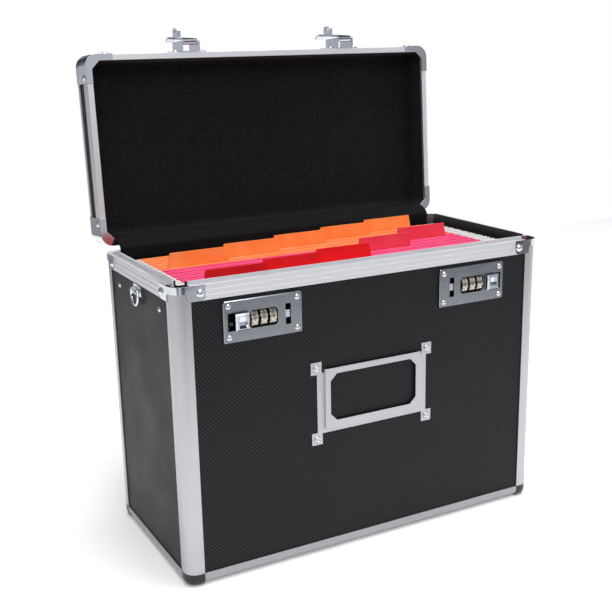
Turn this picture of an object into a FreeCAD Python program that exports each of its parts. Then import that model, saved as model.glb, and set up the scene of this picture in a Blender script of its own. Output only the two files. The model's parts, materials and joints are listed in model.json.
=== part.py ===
import FreeCAD, Part
import math
import os

import Sketcher
from FreeCAD import Placement, Rotation, Vector

# Locking file case, standing open, with its hanging folders.
# Millimetres. Origin: middle of the footprint, on the ground. +X right, +Y back, +Z up.

doc = FreeCAD.newDocument("file_case")
sheet = doc.addObject("Spreadsheet::Sheet", "dims")


class Size:
    """A length that carries both its value and its spreadsheet expression."""

    def __init__(self, text, value):
        self.text = text
        self.value = value

    def join(self, sign, other, value):
        return Size(f"({self.text} {sign} {as_size(other).text})", value)

    def __add__(self, other):
        return self.join("+", other, self.value + as_size(other).value)

    def __sub__(self, other):
        return self.join("-", other, self.value - as_size(other).value)

    def __mul__(self, other):
        return self.join("*", other, self.value * as_size(other).value)

    def __truediv__(self, other):
        return self.join("/", other, self.value / as_size(other).value)

    def __radd__(self, other):
        return as_size(other) + self

    def __rsub__(self, other):
        return as_size(other) - self

    def __rmul__(self, other):
        return as_size(other) * self

    def __neg__(self):
        return as_size(0) - self

    def __float__(self):
        return float(self.value)


def as_size(number):
    return number if isinstance(number, Size) else Size(f"{float(number)}", float(number))


def dim(name, value):
    """Writes one driving dimension into the next row of the sheet."""
    dim.row += 1
    sheet.set(f"A{dim.row}", name)
    sheet.set(f"B{dim.row}", str(value))
    sheet.setAlias(f"B{dim.row}", name)
    return Size(f"dims.{name}", float(value))


dim.row = 0

# ---------------------------------------------------------------- driving dimensions

case_width = dim("case_width", 350)
case_depth = dim("case_depth", 164)
rim_height = dim("rim_height", 250)  # top of the body's rim above the ground
lid_height = dim("lid_height", 30)
lid_angle = dim("lid_angle", 93.6)  # how far the lid stands open
foot_drop = dim("foot_drop", 0.8)  # the feet reach this far below the bottom rails

metal = dim("metal", 1.2)  # wall of the aluminium extrusions
board = dim("board", 4)  # laminated board of the body
lid_board = dim("lid_board", 2.6)  # thinner board of the lid's walls
post_width = dim("post_width", 14.6)
post_round = dim("post_round", 10)
rail_width = dim("rail_width", 10.2)
rail_round = dim("rail_round", 7)
rim_face = dim("rim_face", 12.5)
cap_height = dim("cap_height", 2.4)  # thickness of the rim above the board's edge
tongue_height = dim("tongue_height", 2.5)
felt = dim("felt", 0.8)

sheet_metal = dim("sheet_metal", 0.8)  # pressed corner pieces
tab_start = dim("tab_start", 11.4)
leg_length = dim("leg_length", 26.3)
band_height = dim("band_height", 6)
rivet_radius = dim("rivet_radius", 3.2)

lock_offset = dim("lock_offset", 101)  # middle of each lock from the case's middle
lock_width = dim("lock_width", 68.5)
lock_height = dim("lock_height", 34)
lock_level = dim("lock_level", 217.3)
plate_proud = dim("plate_proud", 2.2)
dial_radius = dim("dial_radius", 8.5)
dial_width = dim("dial_width", 5.6)
dial_pitch = dim("dial_pitch", 8)
axle_radius = dim("axle_radius", 1.5)
button_travel = dim("button_travel", 4.6)
slot_offset = dim("slot_offset", 79.5)  # middle of each hasp and its slot
slot_width = dim("slot_width", 4.6)
slot_length = dim("slot_length", 17)

frame_width = dim("frame_width", 108)
frame_height = dim("frame_height", 56)
frame_level = dim("frame_level", 137)
frame_raise = dim("frame_raise", 2)

hinge_offset = dim("hinge_offset", 4)  # lid axis behind the case's back face
hinge_spacing = dim("hinge_spacing", 110)
lid_gap = dim("lid_gap", 0.9)  # closed lid above the body's rim
corner_leg = dim("corner_leg", 24)

hasp_level = dim("hasp_level", 249)  # hasp axis, with the lid closed
hasp_stand = dim("hasp_stand", 8.2)  # hasp axis in front of the lid
hasp_angle = dim("hasp_angle", 174)  # how far each hasp is thrown back

folder_width = dim("folder_width", 298)
folder_top = dim("folder_top", 243)
folder_pitch = dim("folder_pitch", 11)
orange_count = 5
pink_count = 7

left = -case_width / 2
right = case_width / 2
front = -case_depth / 2
back = case_depth / 2
board_inside = metal + board
skin_inside = board_inside + felt
lid_level = rim_height + lid_gap
lid_top = lid_level + lid_height
lid_lip = metal + lid_board + metal
panel_face = front + metal
plate_face = panel_face - plate_proud
HALF = 0.5
SIDES = {"left": -1, "right": 1}

LID_CENTRE = Vector(0, float(back + hinge_offset), float(rim_height))
HASP_CENTRE = Vector(0, float(front - hasp_stand), float(hasp_level))


def turn_about(centre, degrees):
    """A turn about the line through centre that runs along +X."""
    return Placement(Vector(), Rotation(Vector(1, 0, 0), degrees), centre)


LID_OPEN = turn_about(LID_CENTRE, -float(lid_angle))
HASP_OPEN = LID_OPEN.multiply(turn_about(HASP_CENTRE, -float(hasp_angle)))

# ---------------------------------------------------------------- modelling helpers


def bind(thing, **lengths):
    for name, length in lengths.items():
        thing.setExpression(name.replace("_", "."), as_size(length).text)


def new_body(label, placement=None):
    body = doc.addObject("PartDesign::Body", label)
    body.AllowCompound = True
    if placement:
        body.Placement = placement
    return body


def sketch_on(body, plane, offset=0):
    """An empty sketch on one of the body's own planes, moved along the plane's normal."""
    sketch = body.newObject("Sketcher::SketchObject", "outline")
    support = [item for item in body.Origin.OriginFeatures if item.Role == plane + "_Plane"][0]
    sketch.AttachmentSupport = [(support, "")]
    sketch.MapMode = "FlatFace"
    sketch.setExpression("AttachmentOffset.Base.z", as_size(offset).text)
    return sketch


def polygons(body, plane, loops, offset=0):
    """A sketch of closed outlines, with every corner bound to the sheet."""
    sketch = sketch_on(body, plane, offset)
    constraints = []
    bindings = []
    for corners in loops:
        corners = [(as_size(x), as_size(y)) for x, y in corners]
        first = sketch.GeometryCount
        points = [Vector(float(x), float(y), 0) for x, y in corners]
        ring = points[1:] + points[:1]
        sketch.addGeometry([Part.LineSegment(a, b) for a, b in zip(points, ring)], False)
        for index, (x, y) in enumerate(corners):
            after = first + (index + 1) % len(corners)
            constraints.append(Sketcher.Constraint("Coincident", first + index, 2, after, 1))
            for kind, length in (("DistanceX", x), ("DistanceY", y)):
                bindings.append((len(constraints), length.text))
                place = Sketcher.Constraint(kind, -1, 1, first + index, 1, float(length))
                constraints.append(place)
    sketch.addConstraint(constraints)
    for index, text in bindings:
        sketch.setExpression(f"Constraints[{index}]", text)
    return sketch


def circles(body, plane, discs, offset=0):
    """A sketch of circles (x, y, radius), each bound to the sheet."""
    sketch = sketch_on(body, plane, offset)
    for x, y, radius in discs:
        x, y, radius = as_size(x), as_size(y), as_size(radius)
        centre = Vector(float(x), float(y), 0)
        ring = sketch.addGeometry(Part.Circle(centre, Vector(0, 0, 1), float(radius)), False)
        for constraint, length in (
            (Sketcher.Constraint("DistanceX", -1, 1, ring, 3, float(x)), x),
            (Sketcher.Constraint("DistanceY", -1, 1, ring, 3, float(y)), y),
            (Sketcher.Constraint("Radius", ring, float(radius)), radius),
        ):
            index = sketch.addConstraint(constraint)
            sketch.setExpression(f"Constraints[{index}]", length.text)
    return sketch


def extrude(body, kind, sketch, length, both_ways=True, flip=False):
    feature = body.newObject(kind, kind.split("::")[1].lower())
    feature.Profile = sketch
    feature.Midplane = both_ways
    feature.Reversed = flip
    bind(feature, Length=length)
    body.Tip = feature
    return feature


def pad(body, sketch, length, both_ways=True, flip=False):
    return extrude(body, "PartDesign::Pad", sketch, length, both_ways, flip)


def pocket(body, sketch, length, both_ways=True, flip=False):
    return extrude(body, "PartDesign::Pocket", sketch, length, both_ways, flip)


def repeat(body, features, axis, length, count):
    """Copies features in a row of count along one of the body's own axes."""
    row = body.newObject("PartDesign::LinearPattern", "row")
    row.Originals = features
    line = [item for item in body.Origin.OriginFeatures if item.Role == axis + "_Axis"][0]
    row.Direction = (line, [""])
    row.Occurrences = count
    bind(row, Length=length)
    body.Tip = row
    return row


def round_edges(body, radius, wanted, kind="Fillet"):
    """Rounds (or chamfers) the edges of the body's tip whose middle and direction pass wanted()."""
    doc.recompute()
    base = body.Tip
    names = []
    for index, edge in enumerate(base.Shape.Edges, 1):
        middle = edge.valueAt((edge.FirstParameter + edge.LastParameter) / 2)
        ends = [vertex.Point for vertex in edge.Vertexes]
        along = (ends[-1] - ends[0]) if len(ends) > 1 else Vector()
        if along.Length:
            along.normalize()
        if wanted(middle, along):
            names.append(f"Edge{index}")
    feature = body.newObject(f"PartDesign::{kind}", kind.lower())
    feature.Base = (base, names)
    bind(feature, **{"Radius" if kind == "Fillet" else "Size": radius})
    body.Tip = feature
    return feature


def rect(x0, y0, x1, y1):
    return [(x0, y0), (x1, y0), (x1, y1), (x0, y1)]


def block(x0, y0, z0, x1, y1, z1):
    """A plain box between two corners, for use in a boolean."""
    box = doc.addObject("Part::Box", "block")
    x0, y0, z0, x1, y1, z1 = (as_size(n) for n in (x0, y0, z0, x1, y1, z1))
    bind(box, Length=x1 - x0, Width=y1 - y0, Height=z1 - z0)
    bind(box, Placement_Base_x=x0, Placement_Base_y=y0, Placement_Base_z=z0)
    return box


def rod(x, y, z, axis, radius, length):
    """A cylinder that starts at a point and runs along axis (a Vector)."""
    cylinder = doc.addObject("Part::Cylinder", "rod")
    cylinder.Placement = Placement(Vector(), Rotation(Vector(0, 0, 1), axis))
    bind(cylinder, Radius=radius, Height=length)
    bind(cylinder, Placement_Base_x=x, Placement_Base_y=y, Placement_Base_z=z)
    return cylinder


def dome(x, y, z, axis, radius, height):
    """A rivet head: a shallow cap standing on a surface."""
    cap = doc.addObject("Part::Sphere", "cap")
    ball = (radius * radius + height * height) / (2 * height)
    bind(cap, Radius=ball)
    sink = height - ball
    bind(
        cap,
        Placement_Base_x=x + sink * axis.x,
        Placement_Base_y=y + sink * axis.y,
        Placement_Base_z=z + sink * axis.z,
    )
    keep = rod(x, y, z, axis, radius + 1, height + 1)
    head = doc.addObject("Part::Common", "head")
    head.Base = cap
    head.Tool = keep
    return head


def cut(base, tools):
    whole = doc.addObject("Part::Cut", "cut")
    whole.Base = base
    whole.Tool = tools[0] if len(tools) == 1 else fuse(tools)
    return whole


def fuse(pieces):
    whole = doc.addObject("Part::MultiFuse", "fuse")
    whole.Shapes = pieces
    return whole


def group(label, pieces, placement=None):
    """One sub-part made of separate solids, or one solid given its own place."""
    whole = doc.addObject("Part::Compound", label)
    whole.Links = pieces
    if placement:
        whole.Placement = placement
    return whole


nodes = []


def node(thing):
    nodes.append(thing)
    return thing


X = Vector(1, 0, 0)
Y = Vector(0, 1, 0)
Z = Vector(0, 0, 1)

# ---------------------------------------------------------------- body: boards and lining

board_bottom = foot_drop + rail_round
board_top = rim_height - cap_height

lock_case_width = 58
lock_case_height = 27


def lock_openings():
    """The hole behind each lock, through the front board and its lining."""
    half = lock_case_width * HALF + 0.4
    tall = lock_case_height * HALF + 0.4
    return [
        rect(
            side * lock_offset - half,
            lock_level - tall,
            side * lock_offset + half,
            lock_level + tall,
        )
        for side in SIDES.values()
    ]


def standing_board(label, plane, half_width, face):
    """A wall board; face is the sketch plane's offset of the board's middle."""
    body = new_body(label)
    outline = rect(-half_width, board_bottom, half_width, board_top)
    pad(body, polygons(body, plane, [outline], face), board)
    return node(body)


board_middle = metal + board / 2
front_panel = standing_board("front_panel", "XZ", right - post_round, back - board_middle)
pocket(front_panel, polygons(front_panel, "XZ", lock_openings(), back), 4 * board)
standing_board("back_panel", "XZ", right - post_round, front + board_middle)
standing_board("left_panel", "YZ", back - post_round, left + board_middle)
standing_board("right_panel", "YZ", back - post_round, right - board_middle)

bottom_panel = new_body("bottom_panel")
bottom_outline = rect(left + rail_round, front + rail_round, right - rail_round, back - rail_round)
floor_level = foot_drop + metal + board / 2
pad(bottom_panel, polygons(bottom_panel, "XY", [bottom_outline], floor_level), board)
node(bottom_panel)

lining_top = rim_height - 10
floor_top = foot_drop + board_inside
outer_lining = block(
    left + board_inside,
    front + board_inside,
    floor_top,
    right - board_inside,
    back - board_inside,
    lining_top,
)
inner_lining = block(
    left + skin_inside,
    front + skin_inside,
    floor_top + felt,
    right - skin_inside,
    back - skin_inside,
    rim_height,
)
lining_holes = [
    block(
        side * lock_offset - lock_case_width * HALF - 0.4,
        front,
        lock_level - lock_case_height * HALF - 0.4,
        side * lock_offset + lock_case_width * HALF + 0.4,
        front + 2 * board_inside,
        lock_level + lock_case_height * HALF + 0.4,
    )
    for side in SIDES.values()
]
post_clear = post_width + 0.2
corner_clearance = [
    block(
        sx * (case_width / 2) - post_clear,
        sy * (case_depth / 2) - post_clear,
        floor_top - 1,
        sx * (case_width / 2) + post_clear,
        sy * (case_depth / 2) + post_clear,
        rim_height,
    )
    for sx in (-1, 1)
    for sy in (-1, 1)
]
rail_leaves = [
    block(
        left + rail_round,
        sy * (case_depth / 2) - rail_width - 0.2,
        floor_top - 1,
        right - rail_round,
        sy * (case_depth / 2) + rail_width + 0.2,
        foot_drop + rail_width + 0.2,
    )
    for sy in (-1, 1)
] + [
    block(
        sx * (case_width / 2) - rail_width - 0.2,
        front + rail_round,
        floor_top - 1,
        sx * (case_width / 2) + rail_width + 0.2,
        back - rail_round,
        foot_drop + rail_width + 0.2,
    )
    for sx in (-1, 1)
]
body_liner = cut(outer_lining, [inner_lining] + lining_holes + corner_clearance + rail_leaves)
strip_out = board_inside + metal + 0.7
strip_in = strip_out + felt
strip_end = post_round + 3
strip_low = rim_height - 9
strip_high = rim_height + 2.3
rim_felt = [
    block(
        left + strip_end,
        front + strip_out,
        strip_low,
        right - strip_end,
        front + strip_in,
        strip_high,
    )
] + [
    block(x, front + strip_end, strip_low, x + felt, back - post_width, strip_high)
    for x in (left + strip_out, right - strip_in)
]
node(group("body_liner", [body_liner, *rim_felt]))

# ---------------------------------------------------------------- body: extrusions


def channel_outline(width, core):
    """Corner extrusion that grips two boards: outer leaves, core and inner leaves."""
    inner = board_inside + metal
    return [
        (0, 0),
        (width, 0),
        (width, metal),
        (core, metal),
        (core, board_inside),
        (width, board_inside),
        (width, inner),
        (inner, inner),
        (inner, width),
        (board_inside, width),
        (board_inside, core),
        (metal, core),
        (metal, width),
        (0, width),
    ]


def mirrored(outline, x, y, sx, sy):
    """An outline drawn from a corner, set at (x, y) and pointing the way sx, sy say."""
    return [(x + sx * a, y + sy * b) for a, b in outline]


def round_corner(radius):
    """Points of a quarter circle that rounds the corner at (0, 0), from the y side to the x side."""
    angles = [math.radians(15 * step) for step in range(7)]
    return [(post_round - radius * math.cos(a), post_round - radius * math.sin(a)) for a in angles]


def near(value, target):
    return abs(value - float(target)) < 0.01


corner_posts = new_body("corner_posts")
post_outline = channel_outline(post_width, post_round)
post_loops = [
    mirrored(post_outline, sx * (case_width / 2), sy * (case_depth / 2), -sx, -sy)
    for sx in (-1, 1)
    for sy in (-1, 1)
]
post_foot = foot_drop + rail_width
post_top = rim_height - 1
pad(corner_posts, polygons(corner_posts, "XY", post_loops, post_foot), post_top - post_foot, False)
round_edges(
    corner_posts,
    post_round - 0.02,
    lambda p, along: near(abs(p.x), right) and near(abs(p.y), back) and abs(along.z) > 0.9,
)
node(corner_posts)

bottom_rails = new_body("bottom_rails")
rail_outline = channel_outline(rail_width, rail_round)
long_rails = [
    mirrored(rail_outline, sy * (case_depth / 2), foot_drop, -sy, 1) for sy in (-1, 1)
]
short_rails = [
    mirrored(rail_outline, sx * (case_width / 2), foot_drop, -sx, 1) for sx in (-1, 1)
]
long_length = case_width - 2 * post_width
short_length = case_depth - 2 * post_width
pad(bottom_rails, polygons(bottom_rails, "YZ", long_rails), long_length)
pad(bottom_rails, polygons(bottom_rails, "XZ", short_rails), short_length)
round_edges(
    bottom_rails,
    rail_round - 0.02,
    lambda p, along: near(p.z, foot_drop)
    and (near(abs(p.x), right) or near(abs(p.y), back))
    and abs(along.z) < 0.1
    and (abs(along.x) > 0.9 or near(abs(p.x), right))
    and (abs(along.y) > 0.9 or near(abs(p.y), back)),
)
node(bottom_rails)


def rim_outline():
    """Top extrusion: ribbed face, outer bead, groove, tongue and the inner leaf."""
    tongue_in = lid_lip + 0.4
    tongue_out = tongue_in + 1.7
    inner = board_inside + metal
    rib = 0.3
    return [
        (0, -rim_face),
        (0, -8.8),
        (rib, -8.6),
        (rib, -8.2),
        (0, -8.0),
        (0, -4.6),
        (rib, -4.4),
        (rib, -4.0),
        (0, -3.8),
        (0, 0),
        (metal * 2, 0),
        (metal * 2, -1.2),
        (tongue_in, -1.2),
        (tongue_in, tongue_height),
        (tongue_out, tongue_height),
        (tongue_out, -cap_height),
        (inner, -cap_height),
        (inner, -9),
        (board_inside, -9),
        (board_inside, -cap_height),
        (metal, -cap_height),
        (metal, -rim_face),
    ]


top_rims = new_body("top_rims")
long_rims = [
    mirrored(rim_outline(), sy * (case_depth / 2), rim_height, -sy, 1) for sy in (-1, 1)
]
short_rims = [
    mirrored(rim_outline(), sx * (case_width / 2), rim_height, -sx, 1) for sx in (-1, 1)
]
pad(top_rims, polygons(top_rims, "YZ", long_rims), long_length)
pad(top_rims, polygons(top_rims, "XZ", short_rims), short_length)
node(top_rims)

# ---------------------------------------------------------------- body: corner pieces


def corner_foot(sx, sy):
    """Moulded three-way corner that closes a post and two bottom rails."""
    body = new_body("corner_foot")
    outline = mirrored(
        rect(0, 0, post_width, post_width), sx * (case_width / 2), sy * (case_depth / 2), -sx, -sy
    )
    height = foot_drop + rail_width
    pad(body, polygons(body, "XY", [outline]), height, False)
    x_out = sx * (case_width / 2)
    y_out = sy * (case_depth / 2)
    round_edges(
        body,
        post_round - 0.02,
        lambda p, along: near(p.x, x_out) and near(p.y, y_out) and abs(along.z) > 0.9,
    )
    round_edges(
        body,
        rail_round - 1,
        lambda p, along: near(p.z, 0)
        and not near(p.x, x_out - sx * post_width)
        and not near(p.y, y_out - sy * post_width),
    )
    front_slot = rect(post_round, metal, 2 * post_width, 2 * post_width)
    side_slot = rect(metal, post_round, 2 * post_width, 2 * post_width)
    floor_slot = rect(rail_round, rail_round, 2 * post_width, 2 * post_width)
    for slot, level in ((front_slot, board_bottom), (side_slot, board_bottom)):
        loop = mirrored(slot, x_out, y_out, -sx, -sy)
        pocket(body, polygons(body, "XY", [loop], level), 2 * post_width, False, True)
    loop = mirrored(floor_slot, x_out, y_out, -sx, -sy)
    level = foot_drop + metal
    pocket(body, polygons(body, "XY", [loop], level), 2 * post_width, False, True)
    return body


node(group("corner_feet", [corner_foot(sx, sy) for sx in (-1, 1) for sy in (-1, 1)]))


def top_bracket(sx, sy):
    """Pressed band round a top corner that flares into a riveted tab on each side."""
    body = new_body("top_bracket")
    x_out = sx * (case_width / 2)
    y_out = sy * (case_depth / 2)
    strap = [
        (-sheet_metal, -sheet_metal),
        (leg_length, -sheet_metal),
        (leg_length, 0),
        (0, 0),
        (0, leg_length),
        (-sheet_metal, leg_length),
    ]
    bottom = rim_height - rim_face + 0.2
    loop = mirrored(strap, x_out, y_out, -sx, -sy)
    pad(body, polygons(body, "XY", [loop], bottom), rim_face - 0.2, False)
    outer_edge = sx * sheet_metal
    round_edges(
        body,
        post_round + sheet_metal,
        lambda p, along: near(p.x, x_out + outer_edge)
        and near(p.y, y_out + sy * sheet_metal)
        and abs(along.z) > 0.9,
    )
    round_edges(
        body,
        post_round,
        lambda p, along: near(p.x, x_out) and near(p.y, y_out) and abs(along.z) > 0.9,
    )
    band_bottom = rim_height - band_height
    for plane, out, sign in (("XZ", x_out, sx), ("YZ", y_out, sy)):
        window = [
            (out + sign * 2, bottom - 1),
            (out - sign * tab_start, bottom - 1),
            (out - sign * tab_start, band_bottom - 2),
            (out - sign * (tab_start - 2), band_bottom),
            (out + sign * 2, band_bottom),
        ]
        across = y_out if plane == "XZ" else x_out
        turned = -across if plane == "XZ" else across
        sketch = polygons(body, plane, [window], turned)
        pocket(body, sketch, 2 * post_round + 2, True)
    round_edges(
        body,
        4,
        lambda p, along: near(p.z, bottom)
        and (near(p.x, x_out - sx * leg_length) or near(p.y, y_out - sy * leg_length)),
    )
    lap = sheet_metal / 2
    cap = round_corner(post_round + lap) + [
        (post_width, -lap),
        (post_width, 7),
        (7, 7),
        (7, post_width),
        (-lap, post_width),
    ]
    loop = mirrored(cap, x_out, y_out, -sx, -sy)
    pad(body, polygons(body, "XY", [loop], rim_height - 1), 1, False)
    return body


node(group("top_corner_brackets", [top_bracket(sx, sy) for sx in (-1, 1) for sy in (-1, 1)]))

# ---------------------------------------------------------------- locks

dial_centre_y = plate_face - 1.3 + dial_radius
case_back_y = dial_centre_y + dial_radius + 1.2
button_start = lock_offset + 13.8
button_width = 12
button_height = 13.6
WINDOW_HALF = 7.2


def lock_plate(name, side):
    """Pressed face plate with windows for the dials, the button and the hasp."""
    body = new_body(f"{name}_lock_plate")
    half = lock_width / 2
    middle = side * lock_offset
    low = lock_level - lock_height / 2
    high = lock_level + lock_height / 2
    outline = rect(middle - half, low, middle + half, high)
    pad(body, polygons(body, "XZ", [outline], -panel_face), plate_proud, False)
    round_edges(
        body,
        2,
        lambda p, along: abs(along.y) > 0.9,
    )
    round_edges(
        body,
        0.7,
        lambda p, along: near(p.y, plate_face),
        "Chamfer",
    )
    hollow = rect(middle - half + 1, low + 1, middle + half - 1, high - 1)
    pocket(body, polygons(body, "XZ", [hollow], -panel_face), plate_proud - 0.9, False, True)
    slot_x = side * slot_offset
    windows = [
        [
            (middle - 12.4, lock_level - 5),
            (middle - 10.4, lock_level - WINDOW_HALF),
            (middle + 10.4, lock_level - WINDOW_HALF),
            (middle + 12.4, lock_level - 5),
            (middle + 12.4, lock_level + 5),
            (middle + 10.4, lock_level + WINDOW_HALF),
            (middle - 10.4, lock_level + WINDOW_HALF),
            (middle - 12.4, lock_level + 5),
        ],
        rect(
            slot_x - slot_width / 2,
            lock_level - slot_length / 2,
            slot_x + slot_width / 2,
            lock_level + slot_length / 2,
        ),
        rect(
            side * (button_start - 0.4),
            lock_level - button_height * HALF - 0.4,
            side * (button_start + button_width + button_travel + 0.4),
            lock_level + button_height * HALF + 0.4,
        ),
    ]
    pocket(body, polygons(body, "XZ", windows, -panel_face), 4 * plate_proud, True)
    return node(body)


def lock_case(name, side):
    """Steel tray behind the plate that carries the dial axle and guides the button."""
    body = new_body(f"{name}_lock_case")
    middle = side * lock_offset
    half = lock_case_width * HALF
    tall = lock_case_height * HALF
    outline = rect(middle - half, lock_level - tall, middle + half, lock_level + tall)
    depth = case_back_y - panel_face
    pad(body, polygons(body, "XZ", [outline], -panel_face), depth, False, True)
    hollow = rect(
        middle - half + 1, lock_level - tall + 1, middle + half - 1, lock_level + tall - 1
    )
    pocket(body, polygons(body, "XZ", [hollow], -panel_face), depth - 1, False, False)
    for cheek in (-1, 1):
        at = middle + cheek * (dial_pitch * 1.5 + 1)
        web = rect(at - 0.5, lock_level - 4, at + 0.5, lock_level + 4)
        web_start = dial_centre_y - 2.6
        pad(body, polygons(body, "XZ", [web], -web_start), case_back_y - web_start, False, True)
    axle_hole = circles(body, "YZ", [(dial_centre_y, lock_level, axle_radius)], middle)
    pocket(body, axle_hole, dial_pitch * 4)
    return node(body)


def dial(name, side, index):
    """Number wheel with finger notches round its edge."""
    body = new_body(f"{name}_dial_{index + 1}")
    middle = side * lock_offset + (index - 1) * dial_pitch
    disc = circles(body, "YZ", [(dial_centre_y, lock_level, dial_radius)], middle)
    pad(body, disc, dial_width)
    bore = circles(body, "YZ", [(dial_centre_y, lock_level, axle_radius + 0.05)], middle)
    pocket(body, bore, dial_width * 2)
    notches = []
    for step in range(10):
        angle = math.radians(36 * step + 18)
        reach = dial_radius + 0.55
        notches.append(
            (
                dial_centre_y + reach * math.cos(angle),
                lock_level + reach * math.sin(angle),
                as_size(1.1),
            )
        )
    edge = dial_width / 2
    for cheek in (-1, 1):
        sketch = circles(body, "YZ", notches, middle + cheek * edge)
        pocket(body, sketch, 2.6)
    return node(body)


def release_button(name, side):
    """Sliding button, its carriage, and the latch bar whose nib holds the hasp's staple."""
    body = new_body(f"{name}_release_button")
    half = button_height * HALF
    x0 = side * button_start
    x1 = side * (button_start + button_width)
    skirt_y = panel_face - 0.6
    outer = rect(x0, lock_level - half, x1, lock_level + half)
    pad(body, polygons(body, "XZ", [outer], -skirt_y), skirt_y - plate_face + 5.2, False)
    round_edges(
        body,
        1.2,
        lambda p, along: near(p.y, plate_face - 5.2),
        "Chamfer",
    )
    scoop_x = side * (button_start + button_width * HALF)
    scoop = circles(body, "YZ", [(plate_face - 11.4, lock_level, 8)], scoop_x)
    pocket(body, scoop, button_width * 0.55)
    latch = [
        (button_start + 3, lock_level - half + 0.5),
        (button_start + 3, lock_level - half - 3.6),
        (slot_offset + 3.2, lock_level - half - 3.6),
        (slot_offset + 3.2, lock_level - 3),
        (slot_offset - 1.9, lock_level - 3),
        (slot_offset - 1.9, lock_level + 3),
        (slot_offset + 5.2, lock_level + 3),
        (slot_offset + 5.2, lock_level - half - 1.4),
        (button_start + 1, lock_level - half - 1.4),
        (button_start + 1, lock_level - half + 0.5),
    ]
    latch = [(side * x, z) for x, z in latch]
    pad(body, polygons(body, "XZ", [latch], -skirt_y), 0.6, False)
    lug_x = side * (button_start + 2)
    lug = rect(lug_x, lock_level - 5, lug_x + side * 2.5, lock_level - 1)
    pad(body, polygons(body, "XZ", [lug], -skirt_y), 5.4, False, True)
    return node(body)


for name, side in SIDES.items():
    lock_plate(name, side)
    lock_case(name, side)
    for index in range(3):
        dial(name, side, index)
    release_button(name, side)

axle_half = dial_pitch * 1.5 + 2.4
dial_axles = [
    rod(side * lock_offset - axle_half, dial_centre_y, lock_level, X, axle_radius, axle_half * 2)
    for side in SIDES.values()
]
node(group("dial_axles", dial_axles))


def coil(x, y, z, radius, wire, length, turns):
    """A helical spring along +X as one closed solid."""
    helix = Part.makeHelix(length / turns, length, radius)
    section = Part.Wire([Part.Circle(Vector(radius, 0, 0), Vector(0, 1, 0), wire).toShape()])
    spring = Part.Wire(helix.Edges).makePipeShell([section], True, True)
    spring.rotate(Vector(), Y, 90)
    spring.translate(Vector(x, y, z))
    return spring


spring_length = 8.6
for name, side in SIDES.items():
    far = side * (float(lock_offset) + lock_case_width * HALF - 1.6)
    start = min(far, far - side * spring_length)
    spring = doc.addObject("Part::Feature", f"{name}_button_spring")
    spring.Shape = coil(
        start, float(panel_face) + 3, float(lock_level) - 3, 1.5, 0.3, spring_length, 7
    )
    node(spring)

# ---------------------------------------------------------------- label frame

label_frame = new_body("label_frame")
half_frame = frame_width / 2
half_tall = frame_height / 2
ear = 10
ear_out = half_frame + 5.5
flange = [
    (-half_frame, frame_level - half_tall),
    (half_frame, frame_level - half_tall),
    (half_frame, frame_level + half_tall - 3),
    (-half_frame, frame_level + half_tall - 3),
]
pad(label_frame, polygons(label_frame, "XZ", [flange], -panel_face), metal * 0.7, False)
plate_half = half_frame - 6.7
raised = rect(-plate_half, frame_level - half_tall + 4, plate_half, frame_level + half_tall)
pad(label_frame, polygons(label_frame, "XZ", [raised], -panel_face), frame_raise + 0.9, False)
for sx in (-1, 1):
    for bottom, top in ((half_tall - 4, half_tall + 6.5), (-half_tall - 9.5, -half_tall + 1)):
        lug = rect(sx * ear_out, frame_level + bottom, sx * (ear_out - ear), frame_level + top)
        pad(label_frame, polygons(label_frame, "XZ", [lug], -panel_face), metal * 0.7, False)
cut_off = 6
opening_x = plate_half - 5
opening_low = frame_level - half_tall + 10
opening_high = frame_level + half_tall - 5
opening = [
    (-opening_x + cut_off, opening_low),
    (opening_x - cut_off, opening_low),
    (opening_x, opening_low + cut_off),
    (opening_x, opening_high - cut_off),
    (opening_x - cut_off, opening_high),
    (-opening_x + cut_off, opening_high),
    (-opening_x, opening_high - cut_off),
    (-opening_x, opening_low + cut_off),
]
pocket(label_frame, polygons(label_frame, "XZ", [opening], -panel_face), 20, True)
card_slot = rect(
    -plate_half + 1, frame_level - half_tall + 5, plate_half - 1, frame_level + half_tall + 1
)
slot_sketch = polygons(label_frame, "XZ", [card_slot], -panel_face)
pocket(label_frame, slot_sketch, frame_raise, False, True)
node(label_frame)

# ---------------------------------------------------------------- side rings and file rails

ring_level = rim_height - rim_face - 5.5
ring_stand = 3.2
ring_wire = 1.25
ring_half = 8


def ring_bracket(side):
    """Plate with a rolled barrel that holds the D-ring's straight bar."""
    face = side * (case_width / 2 - metal)
    out = face + side * ring_stand
    barrel = rod(out, -5, ring_level, Y, 2.4, 10)
    bore = rod(out, -6, ring_level, Y, ring_wire + 0.08, 12)
    low = block(-10, -9, -4.5, -9, 9, 4.5)
    bind(low, Placement_Base_x=face if side > 0 else face - 1)
    bind(low, Placement_Base_z=ring_level - 4.5)
    web = block(0, -5, 0, ring_stand, 5, 1.2)
    bind(web, Placement_Base_x=face if side > 0 else face - ring_stand)
    bind(web, Placement_Base_z=ring_level + 1.2)
    return cut(fuse([low, barrel, web]), [bore])


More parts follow.
